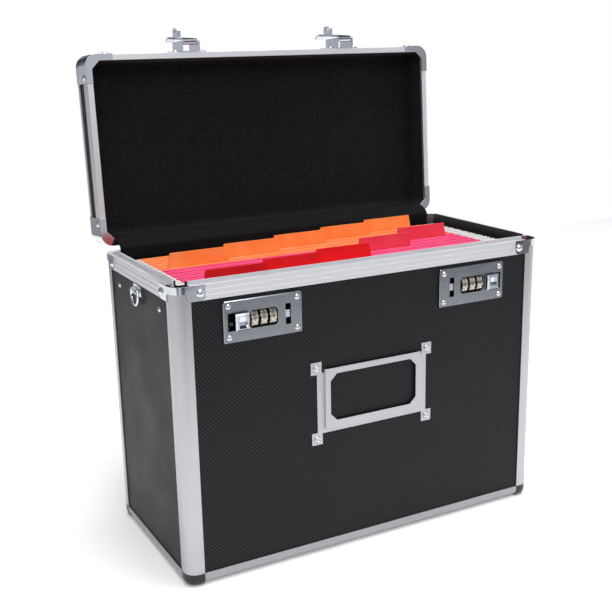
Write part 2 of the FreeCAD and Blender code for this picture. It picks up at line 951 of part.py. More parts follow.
def d_ring(name, side):
    """Wire D hanging from its straight bar."""
    out = float(side * (case_width / 2 - metal + ring_stand))
    level = float(ring_level)
    reach = ring_half - 1.5
    top_left = Vector(out, -reach, level)
    top_right = Vector(out, reach, level)
    low_right = Vector(out, ring_half, level - 4)
    low_left = Vector(out, -ring_half, level - 4)
    corners = [top_left, top_right, low_right, low_left]
    pieces = [Part.makeSphere(ring_wire, point) for point in corners]
    for a, b in ((top_left, top_right), (top_right, low_right), (low_left, top_left)):
        pieces.append(Part.makeCylinder(ring_wire, (b - a).Length, a, b - a))
    bow = Part.Arc(low_right, Vector(out, 0, level - 12), low_left).toShape()
    section = Part.Circle(low_right, bow.tangentAt(bow.FirstParameter), ring_wire).toShape()
    pieces.append(Part.Wire([bow]).makePipeShell([Part.Wire([section])], True, False))
    ring = doc.addObject("Part::Feature", f"{name}_d_ring")
    ring.Shape = pieces[0].multiFuse(pieces[1:]).removeSplitter()
    return node(ring)


node(group("ring_brackets", [ring_bracket(side) for side in SIDES.values()]))
for name, side in SIDES.items():
    d_ring(name, side)

file_rails = new_body("file_rails")
rail_top = folder_top - 5
rail_loops = []
for side in SIDES.values():
    profile = [
        (0, -19),
        (1, -19),
        (1, -6),
        (8, -6),
        (8, 0),
        (7, 0),
        (7, -5),
        (0, -5),
    ]
    rail_loops.append(mirrored(profile, side * (right - skin_inside), rail_top, -side, 1))
pad(file_rails, polygons(file_rails, "XZ", rail_loops), case_depth - 2 * post_width)
node(file_rails)

# ---------------------------------------------------------------- hanging folders

folder_count = orange_count + pink_count
stack_start = -folder_pitch * ((folder_count - 1) / 2)
hem_thick = 2.2
hem_tall = 5.4
leaf_gap = 6.4
paper = 0.5
folder_bottom = floor_top + 8


def folder_profile(y):
    """Folded card seen from the end: two hemmed leaves that meet in a creased bottom."""
    top = folder_top
    hem_low = top - hem_tall
    half = leaf_gap * HALF
    outer = half + hem_thick * HALF
    inner = half - hem_thick * HALF
    return [
        (y - outer, top),
        (y - outer, hem_low),
        (y - half - paper * HALF, hem_low),
        (y - half - paper * HALF, folder_bottom + 3),
        (y - 1, folder_bottom),
        (y + 1, folder_bottom),
        (y + half + paper * HALF, folder_bottom + 3),
        (y + half + paper * HALF, hem_low),
        (y + outer, hem_low),
        (y + outer, top),
        (y + inner, top),
        (y + inner, hem_low),
        (y + half - paper * HALF, hem_low),
        (y + half - paper * HALF, folder_bottom + 4),
        (y + 0.6, folder_bottom + 1),
        (y - 0.6, folder_bottom + 1),
        (y - half + paper * HALF, folder_bottom + 4),
        (y - half + paper * HALF, hem_low),
        (y - inner, hem_low),
        (y - inner, top),
    ]


def hem_tunnels(y):
    """The two tunnels that the hook bars run through."""
    low = folder_top - hem_tall + 0.5
    high = folder_top - 0.5
    half = leaf_gap * HALF
    return [rect(y + s * half - 0.6, low, y + s * half + 0.6, high) for s in (-1, 1)]


def folders(label, first, count):
    body = new_body(label)
    y = stack_start + folder_pitch * first
    card = pad(body, polygons(body, "YZ", [folder_profile(y)]), folder_width)
    tunnels = pocket(body, polygons(body, "YZ", hem_tunnels(y)), folder_width * 2)
    repeat(body, [card, tunnels], "Y", folder_pitch * (count - 1), count)
    return node(body)


folders("pink_folders", 0, pink_count)
folders("orange_folders", pink_count, orange_count)

folder_hooks = new_body("folder_hooks")
hook_reach = right - skin_inside - 9
hook_low = folder_top - 4.8
tip_end = hook_reach + 6
tip_inner = hook_reach + 2.4
bars = []
tips = []
drops = []
for s in (-1, 1):
    y = stack_start + s * leaf_gap * HALF
    bars.append(rect(-hook_reach, y - 0.5, hook_reach, y + 0.5))
    for side in SIDES.values():
        tips.append(rect(side * (folder_width / 2 + 0.3), y - 0.9, side * tip_end, y + 0.9))
        drops.append(rect(side * tip_inner, y - 0.9, side * tip_end, y + 0.9))
hook_parts = [
    pad(folder_hooks, polygons(folder_hooks, "XY", bars, hook_low), 4.2, False),
    pad(folder_hooks, polygons(folder_hooks, "XY", tips, hook_low), 4.6, False),
    pad(folder_hooks, polygons(folder_hooks, "XY", drops, hook_low - 2.6), 3, False),
]
repeat(folder_hooks, hook_parts, "Y", folder_pitch * (folder_count - 1), folder_count)
node(folder_hooks)

tab_width = 54
tab_lift = 12.5


def index_cards(label, places):
    """Cards inside the folders, each with a tab standing up; places are (left edge, folder)."""
    body = new_body(label)
    for start, number in places:
        y = stack_start + folder_pitch * number
        half = folder_width / 2 - 3
        low = folder_bottom + 8
        shoulder = folder_top - 3
        high = folder_top + tab_lift
        outline = [
            (-half, low),
            (half, low),
            (half, shoulder),
            (start + tab_width + 2, shoulder),
            (start + tab_width - 1, high),
            (start + 1, high),
            (start - 2, shoulder),
            (-half, shoulder),
        ]
        pad(body, polygons(body, "XZ", [outline], -y), 0.8)
    return node(body)


index_cards("red_index_cards", [(-140, 0), (-85, 1), (-30, 2)])
index_cards("pink_index_cards", [(26, 4), (81, 6)])
index_cards("orange_index_cards", [(-140 + 54.5 * step, 7 + step) for step in range(orange_count)])

# ---------------------------------------------------------------- lid (drawn closed, then opened)


def lid_body(label):
    return new_body(label, LID_OPEN)


lid_top_panel = lid_body("lid_top_panel")
top_outline = rect(left + metal, front + metal, right - metal, back - metal)
panel_level = lid_top - metal - board
pad(lid_top_panel, polygons(lid_top_panel, "XY", [top_outline], panel_level), board, False)
round_edges(lid_top_panel, post_round - metal, lambda p, along: abs(along.z) > 0.9)
node(lid_top_panel)

lid_walls = lid_body("lid_walls")
wall_low = lid_level + 1.4
wall_high = panel_level
front_walls = []
for sy in (-1, 1):
    y = sy * (case_depth / 2 - metal)
    front_walls.append(rect(-(right - post_round), y, right - post_round, y - sy * lid_board))
side_walls = []
for sx in (-1, 1):
    x = sx * (case_width / 2 - metal)
    side_walls.append(rect(x, -(back - post_round), x - sx * lid_board, back - post_round))
wall_sketch = polygons(lid_walls, "XY", front_walls + side_walls, wall_low)
pad(lid_walls, wall_sketch, wall_high - wall_low, False)
node(lid_walls)


def lid_rim_outline():
    """Lid extrusion: flat lip, tall outer leaf with a groove, short inner leaf."""
    return [
        (0, 0),
        (lid_lip, 0),
        (lid_lip, 8),
        (metal + lid_board, 8),
        (metal + lid_board, 1.4),
        (metal, 1.4),
        (metal, rim_face),
        (0, rim_face),
        (0, 7.2),
        (0.3, 7.0),
        (0.3, 6.6),
        (0, 6.4),
    ]


lid_rims = lid_body("lid_rims")
lid_long = [
    mirrored(lid_rim_outline(), sy * (case_depth / 2), lid_level, -sy, 1) for sy in (-1, 1)
]
lid_short = [
    mirrored(lid_rim_outline(), sx * (case_width / 2), lid_level, -sx, 1) for sx in (-1, 1)
]
lid_long_length = case_width - 2 * post_round
lid_short_length = case_depth - 2 * post_round
pad(lid_rims, polygons(lid_rims, "YZ", lid_long), lid_long_length)
pad(lid_rims, polygons(lid_rims, "XZ", lid_short), lid_short_length)
node(lid_rims)

lid_edge_trims = lid_body("lid_edge_trims")
trim_outline = [(0, 0), (9, 0), (9, -metal), (metal, -metal), (metal, -3), (0, -3)]
trim_long = [mirrored(trim_outline, sy * (case_depth / 2), lid_top, -sy, 1) for sy in (-1, 1)]
trim_short = [mirrored(trim_outline, sx * (case_width / 2), lid_top, -sx, 1) for sx in (-1, 1)]
pad(lid_edge_trims, polygons(lid_edge_trims, "YZ", trim_long), lid_long_length)
pad(lid_edge_trims, polygons(lid_edge_trims, "XZ", trim_short), lid_short_length)
node(lid_edge_trims)


def lid_corner(sx, sy):
    """Pressed cup round a lid corner, folded over the lip with a slanting inner edge."""
    body = new_body("lid_corner")
    x_out = sx * (case_width / 2)
    y_out = sy * (case_depth / 2)
    fold = lid_gap - 0.3
    edge = rect(-sheet_metal, -sheet_metal, corner_leg, corner_leg)
    loop = mirrored(edge, x_out, y_out, -sx, -sy)
    height = fold + lid_height + sheet_metal
    pad(body, polygons(body, "XY", [loop], lid_level - fold), height, False)
    round_edges(
        body,
        post_round + sheet_metal,
        lambda p, along: near(p.x, x_out + sx * sheet_metal)
        and near(p.y, y_out + sy * sheet_metal)
        and abs(along.z) > 0.9,
    )
    round_edges(
        body,
        2,
        lambda p, along: near(p.z, lid_top + sheet_metal)
        and not near(p.x, x_out - sx * corner_leg)
        and not near(p.y, y_out - sy * corner_leg),
    )
    room = round_corner(post_round) + [
        (corner_leg + 1, 0),
        (corner_leg + 1, corner_leg + 1),
        (0, corner_leg + 1),
    ]
    loop = mirrored(room, x_out, y_out, -sx, -sy)
    pocket(body, polygons(body, "XY", [loop], lid_level), lid_height, False, True)
    lip_room = [
        (lid_lip + 0.1, corner_leg + 1),
        (lid_lip + 0.1, post_round + 2),
        (post_round + 2, lid_lip + 0.1),
        (corner_leg + 1, lid_lip + 0.1),
        (corner_leg + 1, corner_leg + 1),
    ]
    loop = mirrored(lip_room, x_out, y_out, -sx, -sy)
    pocket(body, polygons(body, "XY", [loop], lid_level - 2), 3, False, True)
    top_room = [(6, corner_leg + 1), (corner_leg + 1, 6), (corner_leg + 1, corner_leg + 1)]
    loop = mirrored(top_room, x_out, y_out, -sx, -sy)
    pocket(body, polygons(body, "XY", [loop], lid_top - 0.1), 3, False, True)
    return body


lid_corners = [lid_corner(sx, sy) for sx in (-1, 1) for sy in (-1, 1)]
node(group("lid_corners", lid_corners, LID_OPEN))

lining_outer = lid_lip + 0.1
lining_inner = lining_outer + felt
lid_felt = cut(
    block(
        left + lining_outer,
        front + lining_outer,
        lid_level + 2.4,
        right - lining_outer,
        back - lining_outer,
        panel_level,
    ),
    [
        block(
            left + lining_inner,
            front + lining_inner,
            lid_level,
            right - lining_inner,
            back - lining_inner,
            panel_level - felt,
        )
    ],
)
node(group("lid_liner", [lid_felt], LID_OPEN))

# ---------------------------------------------------------------- hinges

knuckle_radius = hinge_offset - 0.6
knuckle_half = 15
leaf_half = 20
hinge_y = back + hinge_offset
pin_radius = 1.25


def hinge_half(sx, lid_side):
    """One leaf with its share of the knuckles: the lid has the middle one."""
    x = sx * hinge_spacing
    sign = 1 if lid_side else -1
    near_z = rim_height + sign * 4.6
    far_z = rim_height + sign * (11.4 if lid_side else 20)
    low = near_z if lid_side else far_z
    high = far_z if lid_side else near_z
    leaf = block(x - leaf_half, back, low, x + leaf_half, back + metal, high)
    spans = [(-5, 5)] if lid_side else [(-knuckle_half, -5.4), (5.4, knuckle_half)]
    solids = [leaf]
    for start, end in spans:
        length = end - start
        solids.append(rod(x + start, hinge_y, rim_height, X, knuckle_radius, length))
        tongue_low = rim_height + (1.8 if lid_side else -9)
        tongue_high = rim_height + (9 if lid_side else -1.8)
        solids.append(block(x + start, back, tongue_low, x + end, back + 2.4, tongue_high))
    bore = pin_radius + (0.05 if lid_side else 0)
    hole = rod(x - knuckle_half - 1, hinge_y, rim_height, X, bore, 2 * knuckle_half + 2)
    return cut(fuse(solids), [hole])


node(group("body_hinge_leaves", [hinge_half(sx, False) for sx in (-1, 1)]))
node(group("lid_hinge_leaves", [hinge_half(sx, True) for sx in (-1, 1)], LID_OPEN))
hinge_pins = [
    rod(
        sx * hinge_spacing - knuckle_half,
        hinge_y,
        rim_height,
        X,
        pin_radius,
        2 * knuckle_half,
    )
    for sx in (-1, 1)
]
node(group("hinge_pins", hinge_pins))

cover_half = right - 12
cover_front = back - lid_lip - 0.4 - 1.7 - 0.4
cover_lower = block(
    -cover_half, cover_front - felt, rim_height - 9, cover_half, cover_front, rim_height + 3
)
node(group("hinge_cover_lower", [cover_lower]))
cover_upper = block(
    -cover_half,
    back - lining_inner - 0.3 - felt,
    lid_level + 3.2,
    cover_half,
    back - lining_inner - 0.3,
    lid_level + 18,
)
node(group("hinge_cover_upper", [cover_upper], LID_OPEN))

# ---------------------------------------------------------------- hasps

hasp_y = front - hasp_stand
bridge_half = 8.6
bridge_low = hasp_level + 3
bridge_high = bridge_low + 18
bridge_y = front - hasp_stand - 1.6
hasp_plate_y = front - 1.2
arm_half = 6.8
barrel_radius = 1.9


def hasp_base(side):
    """Riveted plate with a raised bridge whose cheeks carry the hasp's pin."""
    x = side * slot_offset
    plate = block(x - 16, hasp_plate_y, hasp_level + 2.4, x + 16, front, hasp_level + 22.6)
    bridge = block(
        x - bridge_half, bridge_y, bridge_low, x + bridge_half, hasp_plate_y, bridge_high
    )
    hollow = block(
        x - bridge_half + metal,
        bridge_y + metal,
        bridge_low - 1,
        x + bridge_half - metal,
        hasp_plate_y,
        bridge_high + 1,
    )
    shell = cut(bridge, [hollow])
    cheeks = []
    for cheek in (-1, 1):
        inner = x + cheek * (bridge_half - metal)
        outer = x + cheek * bridge_half
        low_x, high_x = (inner, outer) if cheek > 0 else (outer, inner)
        cheeks.append(
            block(low_x, hasp_y - 1.5, hasp_level - 2, high_x, hasp_plate_y, bridge_low)
        )
    hole = rod(x - bridge_half - 1, hasp_y, hasp_level, X, 1, 2 * bridge_half + 2)
    return cut(fuse([plate, shell] + cheeks), [hole])


node(group("hasp_bases", [hasp_base(side) for side in SIDES.values()], LID_OPEN))
hasp_pins = [
    rod(side * slot_offset - bridge_half, hasp_y, hasp_level, X, 1, 2 * bridge_half)
    for side in SIDES.values()
]
node(group("hasp_pins", hasp_pins, LID_OPEN))


def hasp_arm(name, side):
    """Swinging strap with a staple for the lock's slot and a turned-up finger end."""
    x = side * slot_offset
    body = new_body(f"{name}_hasp_arm", HASP_OPEN)
    inner = hasp_y + 3.5
    outer = hasp_y + 2
    end = lock_level - lock_height / 2 + 2
    strap = [
        (hasp_y, hasp_level + 1.5),
        (outer + 0.2, hasp_level + 1.5),
        (inner, hasp_level - 0.5),
        (inner, end + 5),
        (inner - 1.2, end),
        (inner - 4.2, end - 3.4),
        (inner - 5.3, end - 2.4),
        (outer - 1, end + 1),
        (outer, end + 5),
        (outer, hasp_level - 2.6),
        (hasp_y, hasp_level - 1.9),
    ]
    pad(body, polygons(body, "YZ", [strap], x), 2 * arm_half)
    taper = []
    for cheek in (-1, 1):
        taper.append(
            [
                (x + cheek * (arm_half + 1), end + 14),
                (x + cheek * (arm_half - 2.4), end + 6),
                (x + cheek * (arm_half - 2.4), end - 6),
                (x + cheek * (arm_half + 1), end - 6),
            ]
        )
    pocket(body, polygons(body, "XZ", taper, -hasp_y), 30, True)
    barrel = circles(body, "YZ", [(hasp_y, hasp_level, barrel_radius)], x)
    pad(body, barrel, 2 * arm_half)
    staple = [
        (inner - 0.2, lock_level - 6.2),
        (inner + 6.4, lock_level - 6.2),
        (inner + 7.8, lock_level - 4.6),
        (inner + 7.8, lock_level + 4.6),
        (inner + 6.4, lock_level + 6.2),
        (inner - 0.2, lock_level + 6.2),
    ]
    pad(body, polygons(body, "YZ", [staple], x), 3)
    eye_low = panel_face - 1.6
    eye = rect(eye_low, lock_level - 3.8, eye_low + 1.5, lock_level + 3.8)
    pocket(body, polygons(body, "YZ", [eye], x), 8)
    bore = circles(body, "YZ", [(hasp_y, hasp_level, 1.06)], x)
    pocket(body, bore, 4 * arm_half)
    return node(body)


for name, side in SIDES.items():
    hasp_arm(name, side)

# ---------------------------------------------------------------- handle

handle_half = 58
handle_axis = lid_top + 6
handle_arm = 20
grip_radius = 6.3
pivot_radius = 2


def handle_bracket(sx):
    """Footplate with an upright ear and the pin that the handle turns on."""
    x = sx * handle_half
    plate = block(x - 9, -8, lid_top, x + 9, 8, lid_top + 1.2)
    bind(plate, Placement_Base_z=lid_top - metal)
    bind(plate, Height=metal + 1.2)
    ear_x = x + sx * 3.4
    low = ear_x if sx > 0 else ear_x - 1.6
    ear_plate = block(low, -4, lid_top, low + 1.6, 4, handle_axis + 3)
    pin_start = x - sx * 3.2
    pin = rod(min(pin_start, ear_x), 0, handle_axis, X, pivot_radius, abs(ear_x - pin_start))
    return fuse([plate, ear_plate, pin])


node(group("handle_brackets", [handle_bracket(sx) for sx in (-1, 1)], LID_OPEN))

grip = rod(-handle_half - 3, handle_arm, handle_axis, X, grip_radius, 2 * handle_half + 6)
handle_solids = [grip]
handle_cuts = []
for sx in (-1, 1):
    x = sx * handle_half
    handle_solids.append(block(x - 3, 0, handle_axis - 3, x + 3, handle_arm, handle_axis + 3))
    handle_solids.append(rod(x - 3, 0, handle_axis, X, 3.8, 6))
    handle_cuts.append(rod(x - 4, 0, handle_axis, X, pivot_radius + 0.08, 8))
carry_handle = cut(fuse(handle_solids), handle_cuts)
HANDLE_CENTRE = Vector(0, 0, float(handle_axis))
HANDLE_HUNG = LID_OPEN.multiply(turn_about(HANDLE_CENTRE, float(lid_angle) - 90))
node(group("carry_handle", [carry_handle], HANDLE_HUNG))

# ---------------------------------------------------------------- rivets

frame_heads = []
rivet_reach = leg_length - 4.1
rivet_level = rim_height - rim_face / 2 - 0.3
for sx in (-1, 1):
    for sy in (-1, 1):
        x_out = sx * (case_width / 2)
        y_out = sy * (case_depth / 2)
        frame_heads.append(
            dome(
                x_out - sx * rivet_reach,
                y_out + sy * sheet_metal,
                rivet_level,
                Y * sy,
                rivet_radius,
                2,
            )
        )
        frame_heads.append(
            dome(
                x_out + sx * sheet_metal,
                y_out - sy * rivet_reach,
                rivet_level,
                X * sx,
                rivet_radius,
                2,
            )
        )
    for y in (-48.5, 48.5):
        face = sx * (case_width / 2 - metal)
        frame_heads.append(dome(face, y, folder_top - 16.5, X * sx, 2.2, 1.2))
    for y in (-7, 7):
        face = sx * (case_width / 2 - metal + 1)
        frame_heads.append(dome(face, y, ring_level, X * sx, 1.5, 0.8))
    for x in (-13, 13):
        frame_heads.append(
            dome(sx * hinge_spacing + x, back + metal, rim_height - 12, Y, 2.2, 1.2)
        )
node(group("frame_rivets", frame_heads))

lock_heads = [
    dome(side * lock_offset + a, plate_face, lock_level + b, -Y, 2.3, 1.4)
    for side in SIDES.values()
    for a in (-29.7, 29.7)
    for b in (-12.5, 12.5)
]
node(group("lock_rivets", lock_heads))

label_heads = [
    dome(sx * (ear_out - 5), panel_face - metal * 0.7, frame_level + level, -Y, 3, 1.3)
    for sx in (-1, 1)
    for level in (half_tall + 1.5, -half_tall - 4.5)
]
node(group("label_rivets", label_heads))

lid_heads = []
for sx in (-1, 1):
    for sy in (-1, 1):
        x_out = sx * (case_width / 2)
        y_out = sy * (case_depth / 2)
        reach = corner_leg - 5
        level = lid_level + 6
        face_y = y_out + sy * sheet_metal
        face_x = x_out + sx * sheet_metal
        lid_heads.append(dome(x_out - sx * reach, face_y, level, Y * sy, 2.8, 1.6))
        lid_heads.append(dome(face_x, y_out - sy * reach, level, X * sx, 2.8, 1.6))
    for a in (-12.5, 12.5):
        for b in (5, 19):
            lid_heads.append(
                dome(sx * slot_offset + a, hasp_plate_y, hasp_level + b, -Y, 1.9, 1.1)
            )
        lid_heads.append(dome(sx * hinge_spacing + a, back + metal, lid_level + 7, Y, 2.2, 1.2))
    for y in (-5.6, 5.6):
        lid_heads.append(dome(sx * (handle_half - 5.5), y, lid_top + 1.2, Z, 1.6, 0.9))
node(group("lid_rivets", lid_heads, LID_OPEN))

# ---------------------------------------------------------------- check and export

doc.recompute()
for thing in doc.Objects:
    state = getattr(thing, "State", [])
    if "Invalid" in state or "Error" in state:
        raise RuntimeError(f"{thing.Name} ({thing.Label}) did not build: {state}")

os.makedirs("parts", exist_ok=True)
for thing in nodes:
    shape = thing.Shape
    if shape.isNull() or not shape.isValid() or not shape.Solids:
        raise RuntimeError(f"{thing.Label} has no valid shape")
    shape.exportStep(f"parts/{thing.Label}.step")
print(f"{len(nodes)} sub-parts written")
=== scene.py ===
"""Looks of a locking file case that stands open with its hanging folders.

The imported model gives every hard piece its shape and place. This script gives each one its finish,
and makes the felt linings, the cloth over the hinge, the rivet heads, the dial figures and the
moulded handle. Dataclass fields are millimetres; meshes are metres in the row frame: +X right,
+Y back, +Z up.
"""

import json
import logging
import math
from collections.abc import Callable
from dataclasses import dataclass
from enum import Enum
from functools import cache

import bmesh
import bpy
import numpy as np
from mathutils import Matrix, Vector, noise


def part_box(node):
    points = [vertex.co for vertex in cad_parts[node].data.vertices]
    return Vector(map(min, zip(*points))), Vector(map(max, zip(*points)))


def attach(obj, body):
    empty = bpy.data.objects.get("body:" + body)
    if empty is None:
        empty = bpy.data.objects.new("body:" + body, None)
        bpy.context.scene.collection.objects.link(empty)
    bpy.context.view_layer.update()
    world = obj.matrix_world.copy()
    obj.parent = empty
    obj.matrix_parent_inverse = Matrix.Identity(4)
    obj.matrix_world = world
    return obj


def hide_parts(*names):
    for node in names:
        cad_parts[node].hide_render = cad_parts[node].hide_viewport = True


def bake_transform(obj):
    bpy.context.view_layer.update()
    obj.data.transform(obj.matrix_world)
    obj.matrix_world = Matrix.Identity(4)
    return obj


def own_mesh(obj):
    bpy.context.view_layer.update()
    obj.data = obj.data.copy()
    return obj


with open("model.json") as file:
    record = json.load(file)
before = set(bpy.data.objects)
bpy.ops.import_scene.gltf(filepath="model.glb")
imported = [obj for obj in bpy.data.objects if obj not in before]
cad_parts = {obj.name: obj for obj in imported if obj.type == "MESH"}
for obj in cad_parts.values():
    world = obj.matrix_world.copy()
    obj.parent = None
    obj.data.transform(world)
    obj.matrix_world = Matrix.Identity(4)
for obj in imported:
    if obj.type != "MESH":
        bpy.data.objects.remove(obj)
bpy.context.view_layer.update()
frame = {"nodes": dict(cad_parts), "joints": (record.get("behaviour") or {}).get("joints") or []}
LOG = logging.getLogger("file_case")
MM = 0.001
SIDES = {"left": -1, "right": 1}
SHARP = math.radians(35)  # the least angle that counts as an edge
UP = Vector((0, 0, 1))

Mesh = bpy.types.Mesh
Node = bpy.types.Node
Object = bpy.types.Object
Socket = bpy.types.NodeSocket
Tree = bpy.types.NodeTree
Triple = tuple[float, float, float]


# ---------------------------------------------------------------- helpers


def linear(colour: str) -> tuple[float, float, float, float]:
    """Turns an sRGB hex colour into linear light.

    Args:
        colour: Six hex digits after a hash sign.

    Returns:
        Red, green, blue and full alpha.
    """
    channels = [int(colour[start : start + 2], 16) / 255 for start in (1, 3, 5)]
    light = [c / 12.92 if c <= 0.04045 else ((c + 0.055) / 1.055) ** 2.4 for c in channels]
    return (*light, 1.0)


def add_node(tree: Tree, kind: str, inputs: dict | None = None, **settings: object) -> Node:
    """Adds a node, with its settings, and its inputs set or linked.

    Args:
        tree: The node tree that gets the node.
        kind: The node's Blender type.
        inputs: Input name or number to a value, or to the socket that feeds it.
        **settings: The node's own properties.

    Returns:
        The new node.
    """
    node = tree.nodes.new(kind)
    for name, value in settings.items():
        setattr(node, name, value)
    for name, value in (inputs or {}).items():
        if isinstance(value, Socket):
            tree.links.new(value, node.inputs[name])
        else:
            node.inputs[name].default_value = value
    return node


def new_object(name: str, data: bpy.types.ID) -> Object:
    """Links a new object to the scene."""
    thing = bpy.data.objects.new(name, data)
    bpy.context.scene.collection.objects.link(thing)
    return thing


def mesh_object(name: str, mesh: Mesh, body: str | None) -> Object:
    """Links a mesh as an object at the origin, riding on a body if one is given.

    Args:
        name: The piece's name.
        mesh: Its mesh, already in place.
        body: The CAD body that it moves with, or None for a piece that rides on none.

    Returns:
        The new object.
    """
    thing = new_object(name, mesh)
    if body:
        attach(thing, body)
    return thing


def smooth(mesh: Mesh) -> Mesh:
    """Shades every face of a mesh smooth and gives the mesh back."""
    mesh.polygons.foreach_set("use_smooth", [True] * len(mesh.polygons))
    return mesh


def mesh_from(name: str, shape: bmesh.types.BMesh) -> Mesh:
    """Turns a BMesh into a mesh, and frees it."""
    mesh = bpy.data.meshes.new(name)
    shape.to_mesh(mesh)
    shape.free()
    return mesh


def baked(thing: Object) -> Mesh:
    """Gives the mesh that an object's modifiers or curve make."""
    bpy.context.view_layer.update()
    graph = bpy.context.evaluated_depsgraph_get()
    return bpy.data.meshes.new_from_object(thing.evaluated_get(graph), depsgraph=graph)


def join_rings(shape: bmesh.types.BMesh, rings: list[list[bmesh.types.BMVert]]) -> None:
    """Fills the bands between neighbouring rings of as many points with quads."""
    for first, second in zip(rings, rings[1:]):
        for step in range(len(first)):
            after = (step + 1) % len(first)
            shape.faces.new((first[step], first[after], second[after], second[step]))


def grid_mesh(name: str, rows: list[list[Vector]]) -> Mesh:
    """Makes a smooth mesh of quads from rows of points.

    Args:
        name: The mesh's name.
        rows: Rows of equal length; neighbours become quads.

    Returns:
        The mesh, with its points in the order of the rows.
    """
    across = len(rows[0])
    faces = []
    for row in range(len(rows) - 1):
        for column in range(across - 1):
            near = row * across + column
            far = near + across
            faces.append((near, near + 1, far + 1, far))
    mesh = bpy.data.meshes.new(name)
    mesh.from_pydata([point for row in rows for point in row], [], faces)
    return smooth(mesh)


def point_normals(mesh: Mesh, towards: Callable[[Vector], Vector]) -> None:
    """Turns every face to look the way that towards says at its middle.

    Args:
        mesh: The mesh to change.
        towards: Gives the wanted direction at a point.
    """
    shape = bmesh.new()
    shape.from_mesh(mesh)
    turned = [f for f in shape.faces if f.normal.dot(towards(f.calc_center_median())) < 0]
    bmesh.ops.reverse_faces(shape, faces=turned)
    shape.to_mesh(mesh)
    shape.free()


def lid_opening() -> Matrix:
    """Gives the turn that takes the shut lid to the place where it stands open."""
    hinge = next(joint for joint in frame["joints"] if joint["name"] == "lid_hinge")
    centre = Matrix.Translation(hinge["pos_m"])
    turn = Matrix.Rotation(-math.radians(hinge["range_deg"][1]), 4, "X")
    return centre @ turn @ centre.inverted()


def solids_of(node: str) -> list[np.ndarray]:
    """Splits a CAD node into its solids.

    Args:
        node: The node's name.

    Returns:
        The vertices of each solid, as rows of an array.
    """
    shape = bmesh.new()
    shape.from_mesh(frame["nodes"][node].data)
    bmesh.ops.remove_doubles(shape, verts=shape.verts, dist=2e-6)
    left = set(shape.verts)
    solids = []
    while left:
        edge = [left.pop()]
        found = []
        while edge:
            vert = edge.pop()
            found.append(vert.co[:])
            for link in vert.link_edges:
                other = link.other_vert(vert)
                if other in left:
                    left.remove(other)
                    edge.append(other)
        solids.append(np.array(found))
    shape.free()
    return solids


# ---------------------------------------------------------------- finishes


@dataclass(frozen=True)
class Finish:
    """A surface: what it is made of and how it was made."""

    name: str
    colour: str
    roughness: float
    metallic: float = 0.0

    @cache
    def build(self) -> bpy.types.Material:
        """Makes the material, once.

        Returns:
            The material, shared by every piece with this finish.
        """
        material = bpy.data.materials.new(self.name)
        material.use_nodes = True
        tree = material.node_tree
        shader = tree.nodes["Principled BSDF"]
        shader.inputs["Base Color"].default_value = linear(self.colour)
        shader.inputs["Roughness"].default_value = self.roughness
        shader.inputs["Metallic"].default_value = self.metallic
        place = add_node(tree, "ShaderNodeTexCoord").outputs["Object"]
        self.dress(tree, shader, place)
        return material

    def dress(self, tree: Tree, shader: Node, place: Socket) -> None:
        """Adds the finish's own pattern; a plain finish has a faint unevenness of gloss."""
        self.uneven_gloss(tree, shader, self.grain(tree, place, 6.0, 3), 0.06)

    def grain(self, tree: Tree, place: Socket, size: float, detail: float) -> Socket:
        """Adds a noise of about 0.3 to 0.7, with blobs of size mm and detail finer octaves."""
        values = {"Vector": place, "Scale": 1 / (size * MM), "Detail": detail}
        return add_node(tree, "ShaderNodeTexNoise", values).outputs["Fac"]

    def wave(self, tree: Tree, value: Socket, pitch: float, kind: str) -> Socket:
        """Adds a wave that repeats each pitch mm of value; kind is SINE or COSINE."""
        turns = 2 * math.pi / (pitch * MM)
        phase = add_node(tree, "ShaderNodeMath", {0: value, 1: turns}, operation="MULTIPLY")
        return add_node(tree, "ShaderNodeMath", {0: phase.outputs[0]}, operation=kind).outputs[0]

    def uneven_gloss(self, tree: Tree, shader: Node, value: Socket, swing: float) -> None:
        """Lets the roughness wander by swing to each side, following value."""
        spread = add_node(
            tree,
            "ShaderNodeMapRange",
            {
                "Value": value,
                "From Min": 0.25,
                "From Max": 0.75,
                "To Min": max(0.02, self.roughness - swing),
                "To Max": self.roughness + swing,
            },
        )
        tree.links.new(spread.outputs["Result"], shader.inputs["Roughness"])

    def relief(self, tree: Tree, shader: Node, height: Socket, depth: float) -> None:
        """Bumps the surface by height times depth, in millimetres."""
        values = {"Height": height, "Distance": depth * MM, "Strength": 1.0}
        bump = add_node(tree, "ShaderNodeBump", values)
        tree.links.new(bump.outputs["Normal"], shader.inputs["Normal"])

    def two_tone(
        self,
        tree: Tree,
        shader: Node,
        value: Socket,
        other: str,
        low: float = 0.35,
        high: float = 0.65,
    ) -> None:
        """Fades from the finish's colour to other as value goes from low to high."""
        share = add_node(
            tree, "ShaderNodeMapRange", {"Value": value, "From Min": low, "From Max": high}
        )
        mix = add_node(
            tree,
            "ShaderNodeMix",
            {0: share.outputs["Result"], 6: linear(self.colour), 7: linear(other)},
            data_type="RGBA",
        )
        tree.links.new(mix.outputs[2], shader.inputs["Base Color"])


